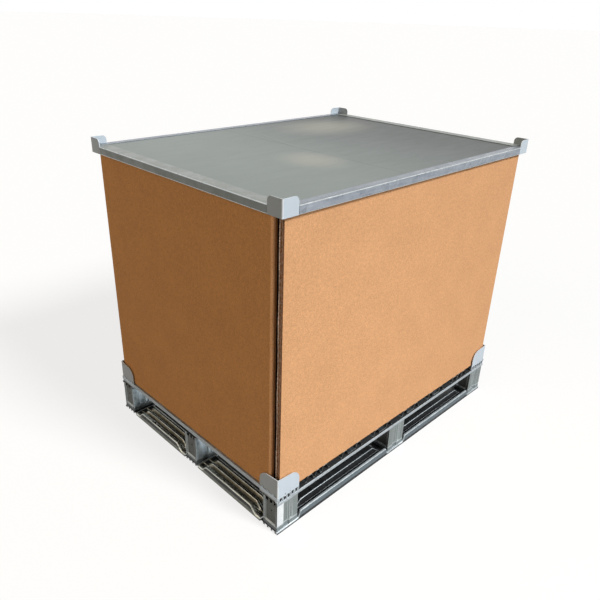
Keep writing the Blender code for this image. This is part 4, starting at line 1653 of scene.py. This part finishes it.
@dataclass
class Sleeve:
    """Everything of the folding board sleeve."""

    outer_x: float = 0.7246
    outer_y: float = 0.5446
    board: float = 0.018
    low: float = BOARD_LOW
    high: float = BOARD_TOP
    raw_end: float = -0.716
    corner: float = 0.008
    liner: float = 0.0011
    hollow: float = 0.007
    loop: float = 0.027
    skin: float = 0.00006
    seed: int = 7
    crease_start: float = -0.4935
    crease_knee: float = -0.5035
    crease_end: float = -0.5050
    crease_depth: float = 0.0085
    crease_steps: int = 8
    web_start: Point = (-0.7062, -0.5040)
    web_end: Point = (-0.6640, -0.5228)
    web_swell: float = 0.0022
    web_steps: int = 14

    def front_wall(self, surface: bpy.types.Material) -> None:
        """Model the front wall with a rounded corner and a hollow raw end."""
        shape = bmesh.new()
        add_block(
            shape,
            Vector((self.raw_end, -self.outer_y, self.low)),
            Vector((self.outer_x, -self.outer_y + self.board, self.high)),
        )
        edges = [
            e
            for e in shape.edges
            if all(abs(v.co.x - self.outer_x) < 1e-5 and abs(v.co.y + self.outer_y) < 1e-5 for v in e.verts)
        ]
        bmesh.ops.bevel(
            shape,
            geom=edges,
            offset=self.corner,
            offset_type="OFFSET",
            segments=6,
            profile=0.5,
            affect="EDGES",
            clamp_overlap=True,
            material=-1,
        )
        end = min(shape.faces, key=lambda f: f.calc_center_median().x)
        bmesh.ops.inset_individual(shape, faces=[end], thickness=self.liner, depth=0.0, use_even_offset=True)
        pushed = bmesh.ops.extrude_discrete_faces(shape, faces=[end])["faces"]
        verts = list({v for f in pushed for v in f.verts})
        bmesh.ops.translate(shape, verts=verts, vec=(self.hollow, 0.0, 0.0))
        bmesh.ops.recalc_face_normals(shape, faces=shape.faces[:])
        piece = make_piece("front_wall_board", shape, surface, "front_wall", 25.0)
        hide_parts("wall_front")

    def strip(self, points: Iterable[Vector], depth: float) -> Shape:
        """Carry a line of points straight inward along X to make a paper strip.

        Args:
            points: the line.
            depth: reach along X.

        Returns:
            A bmesh of the strip.
        """
        shape = bmesh.new()
        chain = [shape.verts.new(point) for point in points]
        edges = [shape.edges.new(pair) for pair in zip(chain, chain[1:])]
        made = bmesh.ops.extrude_edge_only(shape, edges=edges)["geom"]
        fresh = [v for v in made if isinstance(v, bmesh.types.BMVert)]
        bmesh.ops.translate(shape, verts=fresh, vec=(depth, 0.0, 0.0))
        return shape

    def flutes(self, paper: bpy.types.Material, lip: bpy.types.Material) -> None:
        """Fill the raw end with torn flutes and the liner that stands proud of it."""
        chance = random.Random(self.seed)
        ply = (self.board - 2.0 * self.liner) / 2.0
        step = 0.0035
        count = int((self.high - self.low - 0.004) / step)
        for layer in range(2):
            centre = -self.outer_y + self.liner + ply * (layer + 0.5)
            phase = chance.uniform(0.0, math.tau)
            sway = 0.0
            points = []
            for number in range(count + 1):
                height = self.low + 0.002 + number * step
                sway = 0.85 * sway + chance.uniform(-0.16, 0.16)
                phase += math.tau * step / self.loop * chance.uniform(0.6, 1.4)
                reach = ply * 0.40 * math.sin(phase + sway)
                shy = 0.0006 + 0.0012 * abs(math.sin(height * 41.0 + layer)) + chance.uniform(0.0, 0.0005)
                points.append(Vector((self.raw_end + shy, centre + reach, height)))
            strip = self.strip(points, 0.0055)
            piece = make_piece(f"torn_flute_{layer + 1}", strip, paper, "front_wall", 60.0)
            give_gauge(piece, 0.0007)
        middle = -self.outer_y + self.board / 2.0
        points = [
            Vector((
                self.raw_end + 0.0004,
                middle + 0.0004 * math.sin(9.0 * n * step),
                self.low + 0.002 + n * step,
            ))
            for n in range(count + 1)
        ]
        piece = make_piece("middle_liner", self.strip(points, 0.0062), paper, "front_wall", 60.0)
        give_gauge(piece, 0.0008)
        inner = -self.outer_y + self.board - 0.0012
        points = []
        for number in range(count + 1):
            height = self.low + 0.001 + number * (self.high - self.low - 0.002) / count
            proud = 0.0040 + 0.0007 * math.sin(height * 23.0) + chance.uniform(-0.0003, 0.0003)
            points.append(Vector((self.raw_end - proud, inner, height)))
        shape = self.strip(points, 0.0048)
        piece = make_piece("proud_liner", shape, lip, "front_wall", 60.0)
        give_gauge(piece, 0.0008)

    def skins(self, surface: bpy.types.Material) -> None:
        """Lay the outer liner across the creases."""
        face = self.outer_x + self.skin
        crease = self.outer_y - self.board
        rows = (
            ("crease_liner_right_front", 1.0, -crease, "front_wall", "right_front_half", -0.0095, 0.012),
            ("crease_liner_right_back", 1.0, crease, "right_back_half", "back_wall", -0.012, 0.0095),
            ("crease_liner_left_back", -1.0, crease, "left_back_half", "back_wall", -0.012, 0.0095),
            ("liner_left_wall", -1.0, 0.0, "left_front_half", "left_back_half", -0.4935, crease - 0.0125),
        )
        for name, sign, middle, first, second, low, high in rows:
            zone = 0.0015
            stops = [low, *[-zone + 2.0 * zone * n / 10.0 for n in range(11)], high]
            shape = bmesh.new()
            chain = [shape.verts.new((sign * face, middle + stop, self.low)) for stop in stops]
            edges = [shape.edges.new(pair) for pair in zip(chain, chain[1:])]
            made = bmesh.ops.extrude_edge_only(shape, edges=edges)["geom"]
            fresh = [v for v in made if isinstance(v, bmesh.types.BMVert)]
            bmesh.ops.translate(shape, verts=fresh, vec=(0.0, 0.0, self.high - self.low))
            shape.normal_update()
            if shape.faces[:][0].normal.x * sign < 0.0:
                bmesh.ops.reverse_faces(shape, faces=shape.faces[:])
            piece = make_piece(name, shape, surface)
            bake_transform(piece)

    def crushed_crease(self, surface: bpy.types.Material) -> None:
        """Turn the left wall's near end in with the crushed crease that leads to the joint; its pale paper is
        painted light.
        """
        shape = bmesh.new()
        start = Vector((-self.outer_x - self.skin, self.crease_start))
        end = Vector((-self.outer_x + self.crease_depth, self.crease_end))
        knee = Vector((-self.outer_x - self.skin, self.crease_knee))
        chain = []
        for number in range(self.crease_steps + 1):
            share = number / self.crease_steps
            point = start.lerp(knee, share).lerp(knee.lerp(end, share), share)
            chain.append(shape.verts.new((*point, self.low)))
        edges = [shape.edges.new(pair) for pair in zip(chain, chain[1:])]
        made = bmesh.ops.extrude_edge_only(shape, edges=edges)["geom"]
        fresh = [v for v in made if isinstance(v, bmesh.types.BMVert)]
        bmesh.ops.translate(shape, verts=fresh, vec=(0.0, 0.0, self.high - self.low))
        shape.normal_update()
        if shape.faces[:][0].normal.x > 0.0:
            bmesh.ops.reverse_faces(shape, faces=shape.faces[:])
        make_piece("crushed_crease_left_front", shape, surface, "left_front_half")

    def web(self, surface: bpy.types.Material) -> None:
        """Close the joint with the flap's own liner, folded from the flap to the left wall; its near-black
        paper is a painted shade in the joint.
        """
        start = Vector((*self.web_start, 0.0))
        end = Vector((*self.web_end, 0.0))
        shape = bmesh.new()
        chain = []
        for number in range(self.web_steps + 1):
            share = number / self.web_steps
            point = end.lerp(start, share)
            point.y += self.web_swell * math.sin(math.pi * share)
            chain.append(shape.verts.new((point.x, point.y, self.low + 0.0005)))
        edges = [shape.edges.new(pair) for pair in zip(chain, chain[1:])]
        made = bmesh.ops.extrude_edge_only(shape, edges=edges)["geom"]
        fresh = [v for v in made if isinstance(v, bmesh.types.BMVert)]
        bmesh.ops.translate(shape, verts=fresh, vec=(0.0, 0.0, self.high - self.low - 0.001))
        shape.normal_update()
        if shape.faces[:][0].normal.x > 0.0:
            bmesh.ops.reverse_faces(shape, faces=shape.faces[:])
        piece = make_piece("joint_web", shape, surface, None, 60.0)
        give_gauge(piece, 0.0006)
        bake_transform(piece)

    def dress_nodes(
        self, long_wall: bpy.types.Material, short_wall: bpy.types.Material, flap: bpy.types.Material
    ) -> None:
        """Give the carried-over boards their finish."""
        for name in (
            "wall_left_front_half",
            "wall_left_back_half",
            "wall_right_front_half",
            "wall_right_back_half",
        ):
            dress(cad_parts[name], short_wall, 0.0006)
        dress(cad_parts["wall_back"], long_wall, 0.0006)
        dress(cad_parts["joint_flap"], flap, 0.0004)


@dataclass
class Lid:
    """Everything of the steel lid."""

    half_length: float = 0.745
    half_width: float = 0.565
    bottom: float = LID_LOW
    top: float = LID_TOP
    lip: float = 0.017
    upstand: float = 0.010
    border_long: float = 0.035
    border_short: float = 0.053
    ear: float = 0.067
    step: float = 0.0033
    joggle: float = 0.0012
    gauge: float = 0.0016

    def rail(
        self,
        name: str,
        place: Matrix,
        spans: tuple[float, float],
        flange: float,
        surfaces: tuple[bpy.types.Material, bpy.types.Material],
    ) -> None:
        """Roll one rail with its skirt, its return lip and its wide top flange.

        Args:
            name: side of the lid.
            place: matrix from the rail's frame to the lid's edge at the middle of that side.
            spans: half the length of the rail, and of the side of the lid.
            flange: width of the top flange from the lid's edge.
            surfaces: material of the rail and of its folds.
        """
        low, reach = spans
        ear_end = reach - self.ear - 0.0003
        notch = reach - self.border_long - 0.0003 if flange == self.border_short else low + 1.0
        stops = {low, ear_end, ear_end - self.joggle}
        if notch < low:
            stops |= {notch, notch + 0.0002}
        marks = sorted(stops)
        stations = [-s for s in reversed(marks)] + marks
        corners = [
            (self.lip, self.bottom + self.upstand),
            (self.lip, self.bottom),
            (0.0, self.bottom),
            (0.0, self.top),
            (self.lip, self.top),
            (flange, self.top),
        ]

        def move(number: int, point: Point, station: float) -> Point:
            """Step the skirt back behind the ears and notch the flange in the corners."""
            u, v = point
            if number in (2, 3) and abs(station) > ear_end - 1e-6:
                u = self.step
            if number == 5 and abs(station) > notch + 1e-6:
                u = self.lip + 0.0004
            return u, v

        shape = BentSheet(corners, bend=0.0026, segments=4, highlight_folds=True).draw(stations, place, move)
        piece = make_piece(f"rolled_lid_rail_{name}", shape, surfaces[0], "lid", 35.0, surfaces[1])
        give_gauge(piece, self.gauge)
        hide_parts(f"lid_rail_{name}", f"lid_border_{name}")

    def build(
        self,
        rails_long: tuple[bpy.types.Material, bpy.types.Material],
        rails_short: tuple[bpy.types.Material, bpy.types.Material],
        ears: tuple[bpy.types.Material, bpy.types.Material],
        sheet: bpy.types.Material,
        inside: bpy.types.Material,
    ) -> None:
        """Make the lid's pieces and dress its sheets.

        Args:
            rails_long: material of the rails on the long sides and of their folds.
            rails_short: material of the rails on the short sides and of their folds.
            ears: material of the stacking corners and of their bends.
            sheet: material of the top sheets.
            inside: material of the hat stiffeners.
        """
        right = Vector((1.0, 0.0, 0.0))
        back = Vector((0.0, 1.0, 0.0))
        for row in Row:
            place = placing(right, back * -row.value, Vector((0.0, row.value * self.half_width, 0.0)))
            spans = (self.half_length - self.step, self.half_length)
            self.rail(row.name.lower(), place, spans, self.border_long, rails_long)
        for side in Side:
            place = placing(back, right * -side.value, Vector((side.value * self.half_length, 0.0, 0.0)))
            spans = (self.half_width - self.lip - 0.0003, self.half_width)
            self.rail(side.name.lower(), place, spans, self.border_short, rails_short)
        for side in Side:
            for row in Row:
                CornerBracket(
                    name=f"lid_corner_{side.name.lower()}_{row.name.lower()}",
                    corner=(side.value * self.half_length, row.value * self.half_width),
                    ears=(self.ear, self.ear),
                    levels=(self.bottom, EAR_TOP),
                    shoulder=0.018,
                    gauge=0.003,
                    body="lid",
                ).build(*ears)
        for name in ("lid_sheet_left", "lid_sheet_right"):
            dress(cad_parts[name], sheet, 0.0004)
        for name in ("lid_stiffener_left", "lid_stiffener_seam", "lid_stiffener_right"):
            dress(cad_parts[name], inside, 0.0004)


def dress(part: bpy.types.Object, surface: bpy.types.Material, width: float) -> None:
    """Give a carried-over CAD part its material and soft edges, without touching its mesh.

    Args:
        part: CAD object.
        surface: material.
        width: width of the edge rounding.
    """
    for slot in part.material_slots:
        slot.material = surface
    weld = part.modifiers.new("joined", "WELD")
    weld.merge_threshold = 0.00001
    soften(part, width, 28.0)


@dataclass
class Studio:
    """Floor, backdrop, lamps and the camera."""

    eye: tuple[float, float, float] = (-1.861, -1.746, 1.791)
    right: tuple[float, float, float] = (0.7119, -0.7017, 0.0299)
    down: tuple[float, float, float] = (-0.2873, -0.3298, -0.8993)
    ahead: tuple[float, float, float] = (0.6409, 0.6316, -0.4363)
    lens: float = 35.63
    ambient: float = 0.12
    key: float = 3.00
    fill: float = 0.56
    card: float = 13.0

    def camera(self) -> None:
        """Set the camera at the photograph's place and angle."""
        data = bpy.data.cameras.new("camera")
        data.lens = self.lens
        data.sensor_width = 36.0
        data.clip_start = 0.05
        data.clip_end = 400.0
        camera = bpy.data.objects.new("camera", data)
        across, below, ahead = (Vector(v) for v in (self.right, self.down, self.ahead))
        turn = Matrix((across, -below, -ahead)).transposed()
        camera.matrix_world = Matrix.Translation(self.eye) @ turn.to_quaternion().to_matrix().to_4x4()
        bpy.context.scene.collection.objects.link(camera)
        bpy.context.scene.camera = camera

    def floor(self) -> None:
        """Lay the round floor."""
        shape = bmesh.new()
        bmesh.ops.create_circle(shape, cap_ends=True, segments=96, radius=150.0)
        bmesh.ops.translate(shape, verts=shape.verts, vec=(0.0, 0.0, -0.0005))
        floor = make_piece("floor", shape, StudioFloor("matt_white_floor", "#8C8C8A", lift=0.78).build())

    def world(self) -> None:
        """White background for the eye and for gloss, and a dim even sky for light."""
        world = bpy.data.worlds.new("studio")
        bpy.context.scene.world = world
        world.use_nodes = True
        tree = world.node_tree
        tree.nodes.clear()
        path = add_node(tree, "ShaderNodeLightPath").outputs
        seen = add_node(
            tree,
            "ShaderNodeMath",
            {"operation": "MAXIMUM"},
            {0: path["Is Camera Ray"], 1: path["Is Glossy Ray"]},
        ).outputs[0]
        seen = add_node(
            tree, "ShaderNodeMath", {"operation": "MAXIMUM"}, {0: seen, 1: path["Is Transmission Ray"]}
        ).outputs[0]
        sky = add_node(
            tree, "ShaderNodeBackground", {"Color": linear("#F6F2EC"), "Strength": self.ambient}
        ).outputs[0]
        white = add_node(
            tree, "ShaderNodeBackground", {"Color": linear("#FFFFFF"), "Strength": 1.0}
        ).outputs[0]
        mixed = add_node(tree, "ShaderNodeMixShader", None, {0: seen, 1: sky, 2: white}).outputs[0]
        add_node(tree, "ShaderNodeOutputWorld", None, {0: mixed})

    def lamp(self, name: str, towards: Vector, strength: float, spread: float, colour: str) -> None:
        """Hang one far soft lamp that lights the whole scene evenly.

        Args:
            name: lamp name.
            towards: direction from the box to the lamp.
            strength: power on a square metre that faces it.
            spread: how wide the lamp looks from the box, in degrees.
            colour: sRGB hex colour.
        """
        data = bpy.data.lights.new(name, "SUN")
        data.energy = strength
        data.angle = math.radians(spread)
        data.color = linear(colour)[:3]
        lamp = bpy.data.objects.new(name, data)
        lamp.rotation_mode = "QUATERNION"
        lamp.rotation_quaternion = towards.to_track_quat("Z", "Y")
        bpy.context.scene.collection.objects.link(lamp)

    def low_card(self) -> None:
        """Stand a lit card low in front, so that the near foot of the box is the brightest."""
        data = bpy.data.lights.new("low_card", "AREA")
        data.energy = self.card
        data.size = 0.9
        lamp = bpy.data.objects.new("low_card", data)
        lamp.location = (-0.42, -2.60, 0.15)
        lamp.rotation_mode = "QUATERNION"
        lamp.rotation_quaternion = Vector((0.10, -2.05, -0.20)).to_track_quat("Z", "Y")
        bpy.context.scene.collection.objects.link(lamp)

    def build(self) -> None:
        """Set the whole studio."""
        self.camera()
        self.floor()
        self.world()
        self.low_card()
        self.lamp("front_softbox", Vector((0.17, -0.75, 0.64)), self.key, 15.0, "#FFFFFF")
        self.lamp("left_fill", Vector((-0.80, 0.10, 0.45)), self.fill, 40.0, "#FFDCA8")
        bpy.context.scene.view_settings.view_transform = "Standard"


def main() -> None:
    """Build the whole scene in order."""
    logging.basicConfig(level=logging.INFO, format="%(name)s %(message)s")
    kraft_long = KraftBoard("kraft_board_long_walls", "#DCA677").build()
    # the short walls' kraft is lighter and warmer than the long walls': painted light on the shaded short
    # sides
    kraft_short = KraftBoard("kraft_board_short_walls", "#E2A56B", run=Run.WIDTH, face=0.7246).build()
    # pale paper on the crushed crease: painted light where the front wall's end shades it
    kraft_crease_painted_light = PaperCut("crushed_kraft_crease", "#FFC894", shadow="#EAA872").build()
    # the flap is darker than the walls' kraft: painted shade in the joint
    flap = PaperCut("crushed_kraft_flap", "#A97B52").build()
    # torn flute paper: partly the paler cut paper, partly painted light on the shaded raw end
    paper = PaperCut("torn_flute_paper", "#FFE6D0", shadow="#A88468").build()
    # proud liner: partly the paler cut paper, partly a painted highlight along the raw end
    lip = PaperCut("proud_liner_paper", "#F4DCC6", shadow="#8E7058").build()
    # near-black web paper: painted shade in the joint
    web = PaperCut("web_paper", "#2E160A", shadow="#160A04").build()
    # near-black runner sheet: painted shade under the deck
    runner = GalvanisedSheet(
        "galvanised_runner_sheet", "#15191C", shadow="#080A0C", run=Run.LENGTH, roughness=0.6, metal=0.1
    ).build()
    # lighter runner folds: painted highlight along the bends
    runner_fold = GalvanisedSheet(
        "burnished_runner_fold", "#C2CBCF", shadow="#8E979C", streak=0.2, roughness=0.45, metal=0.4
    ).build()
    runner_face = GalvanisedSheet(
        "galvanised_runner_rim", "#66737A", shadow="#434F56", run=Run.LENGTH, roughness=0.5, metal=0.3
    ).build()
    # dark runner crowns: painted shade under the deck
    runner_crown = GalvanisedSheet(
        "galvanised_runner_crown", "#2A2C2E", shadow="#121415", run=Run.LENGTH, streak=0.8,
        roughness=0.5, metal=0.2,
    ).build()
    end_board = GalvanisedSheet(
        "shaded_end_sheet", "#1C1D19", shadow="#0B0C0A", run=Run.WIDTH, streak=0.9, roughness=0.5, metal=0.3,
        flake=0.0, mottle=0.2,
    ).build()
    # lighter end board folds: painted highlight along the bends
    end_fold = GalvanisedSheet(
        "burnished_end_fold", "#DCDDD4", shadow="#8E9086", run=Run.WIDTH, streak=0.7,
        roughness=0.28, metal=0.8,
        flake=0.0, mottle=0.2,
    ).build()
    end_face = GalvanisedSheet(
        "dull_end_rim", "#80847B", shadow="#4C4F48", run=Run.WIDTH, streak=0.9, roughness=0.4,
        metal=0.4, flake=0.0,
        mottle=0.3,
    ).build()
    # near-white ridge walls of the end boards: painted reflection
    end_wall = GalvanisedSheet(
        "streaked_end_wall", "#F2F3E8", shadow="#A8AAA0", run=Run.WIDTH, streak=0.9, roughness=0.3,
        metal=0.25,
        flake=0.0, mottle=0.2,
    ).build()
    # side=0.7: painted shade on the faces that look along X
    rail = GalvanisedSheet(
        "galvanised_rail_sheet", "#8F999E", shadow="#545C61", streak=0.3, roughness=0.45, metal=0.4, side=0.7
    ).build()
    # lighter rail folds: painted highlight along the bends
    rail_fold = GalvanisedSheet(
        "burnished_rail_fold", "#B5BEC4", shadow="#8D969B", streak=0.2, roughness=0.4, metal=0.5
    ).build()
    # side=0.9: painted shade on the faces that look along X
    post = GalvanisedSheet(
        "galvanised_post_sheet", "#8A9393", shadow="#666F6E", run=Run.HEIGHT, spangle=9.0,
        streak=0.2, metal=0.4,
        roughness=0.45, side=0.9, mottle=0.5, flake=0.1,
    ).build()
    # lighter post folds: painted highlight along the bends; side=0.8 is painted shade on the faces that look
    # along X
    post_fold = GalvanisedSheet(
        "burnished_post_fold", "#C3CBCD", shadow="#949DA0", run=Run.HEIGHT, streak=0.2, metal=0.4,
        roughness=0.4,
        side=0.8,
    ).build()
    # near-white strip at the pallet's corner: painted highlight
    post_strip = GalvanisedSheet(
        "bright_post_strip", "#F2F6F8", shadow="#D4DBDF", run=Run.HEIGHT, spangle=9.0, streak=0.15, metal=0.3,
        roughness=0.4,
    ).build()
    # dark recess faces of the posts: painted shade
    post_deep = GalvanisedSheet(
        "dull_post_recess", "#50524D", shadow="#343632", run=Run.HEIGHT, spangle=9.0, streak=0.3, metal=0.3,
        roughness=0.5,
    ).build()
    # side=0.5: painted shade on the faces that look along X
    post_foot = GalvanisedSheet(
        "galvanised_post_foot", "#8D979A", shadow="#5F686B", run=Run.LENGTH, streak=0.3, metal=0.4,
        roughness=0.45,
        side=0.5,
    ).build()
    # dark post insides and the web behind the bracket windows: painted shade
    post_inside = GalvanisedSheet(
        "dusty_post_inside", "#2B2D2D", shadow="#161818", run=Run.HEIGHT, streak=0.1, metal=0.0, roughness=0.8
    ).build()
    # light inward post faces: painted light where the deck shades them
    post_inward_painted_light = GalvanisedSheet(
        "glossy_inward_post_face", "#D2E0E8", shadow="#9FB2BC", run=Run.HEIGHT, spangle=16.0, streak=0.5,
        roughness=0.4, metal=1.0, flake=0.1,
    ).build()
    deck = GalvanisedSheet(
        "galvanised_deck_sheet", "#5E666A", shadow="#2C3134", run=Run.WIDTH, roughness=0.5, metal=0.3
    ).build()
    # cut rib ends: partly bare cut steel, partly a painted highlight
    deck_cut = GalvanisedSheet(
        "bright_deck_cut", "#B9C2C4", shadow="#8B9497", run=Run.WIDTH, streak=0.3, roughness=0.4, metal=0.4
    ).build()
    # dark sheet for rail tops, end rails and deck undersides: painted shade
    dark = GalvanisedSheet(
        "dusty_shaded_sheet", "#2A2D2F", shadow="#131516", run=Run.WIDTH, streak=0.2, roughness=0.8, metal=0.0
    ).build()
    deck_edge = GalvanisedSheet(
        "galvanised_deck_edge", "#A4ABAE", shadow="#6C7478", run=Run.WIDTH, streak=0.4,
        roughness=0.4, metal=0.45,
    ).build()
    lid_long = GalvanisedSheet(
        "galvanised_lid_rail_long", "#A2A9B2", shadow="#757E8A", run=Run.LENGTH, spangle=22.0,
        streak=0.40, metal=0.5,
        flake=0.08,
    ).build()
    # side=0.50: painted shade on the short rails' skirts, which look along X
    lid_short = GalvanisedSheet(
        "galvanised_lid_rail_short", "#A2A7A3", shadow="#8A8F8B", run=Run.WIDTH, spangle=22.0,
        streak=0.10, metal=0.4,
        side=0.50, flake=0.0, mottle=0.3, roughness=0.45,
    ).build()
    # lighter lid folds: painted highlight along the bends
    lid_fold = GalvanisedSheet(
        "burnished_lid_fold", "#CDD2D2", shadow="#AEB5B6", streak=0.2, metal=0.8
    ).build()
    # side=0.72: painted shade on the ears' faces that look along X
    coat = PowderCoat("grey_powder_coat", "#C2CED8", side=0.72).build()
    # lighter bend and cut edges of the corner brackets: painted highlight
    coat_bend = PowderCoat("rubbed_powder_coat_bend", "#E0E8EE", scuff="#F2F6F8").build()
    lid_sheet = LidSheetCoat("lacquered_zinc_lid_sheet", "#686E6B").build()

    boards = BaseBoards()
    boards.build((runner, runner_fold, runner_face, runner_crown), (end_board, end_fold, end_face, end_wall))
    boards.end_tabs(post)
    pallet = Pallet()
    pallet.dress_nodes(dark)
    pallet.posts((post, post_fold, post_strip, post_deep, post_foot, post_inward_painted_light, post_inside))
    pallet.rails(rail, rail_fold, dark)
    pallet.deck((deck, deck_cut, dark))
    pallet.end_boards(deck_edge, rail_fold)
    pallet.window_backs(post_inside)
    pallet.brackets(coat, coat_bend)
    pallet.teeth(rail_fold)
    sleeve = Sleeve()
    sleeve.dress_nodes(kraft_long, kraft_short, flap)
    sleeve.front_wall(kraft_long)
    sleeve.flutes(paper, lip)
    sleeve.skins(kraft_short)
    sleeve.crushed_crease(kraft_crease_painted_light)
    sleeve.web(web)
    Lid().build((lid_long, lid_fold), (lid_short, lid_fold), (coat, coat_bend), lid_sheet, deck)
    Studio().build()
    bpy.context.view_layer.update()


if __name__ == "__main__":
    main()
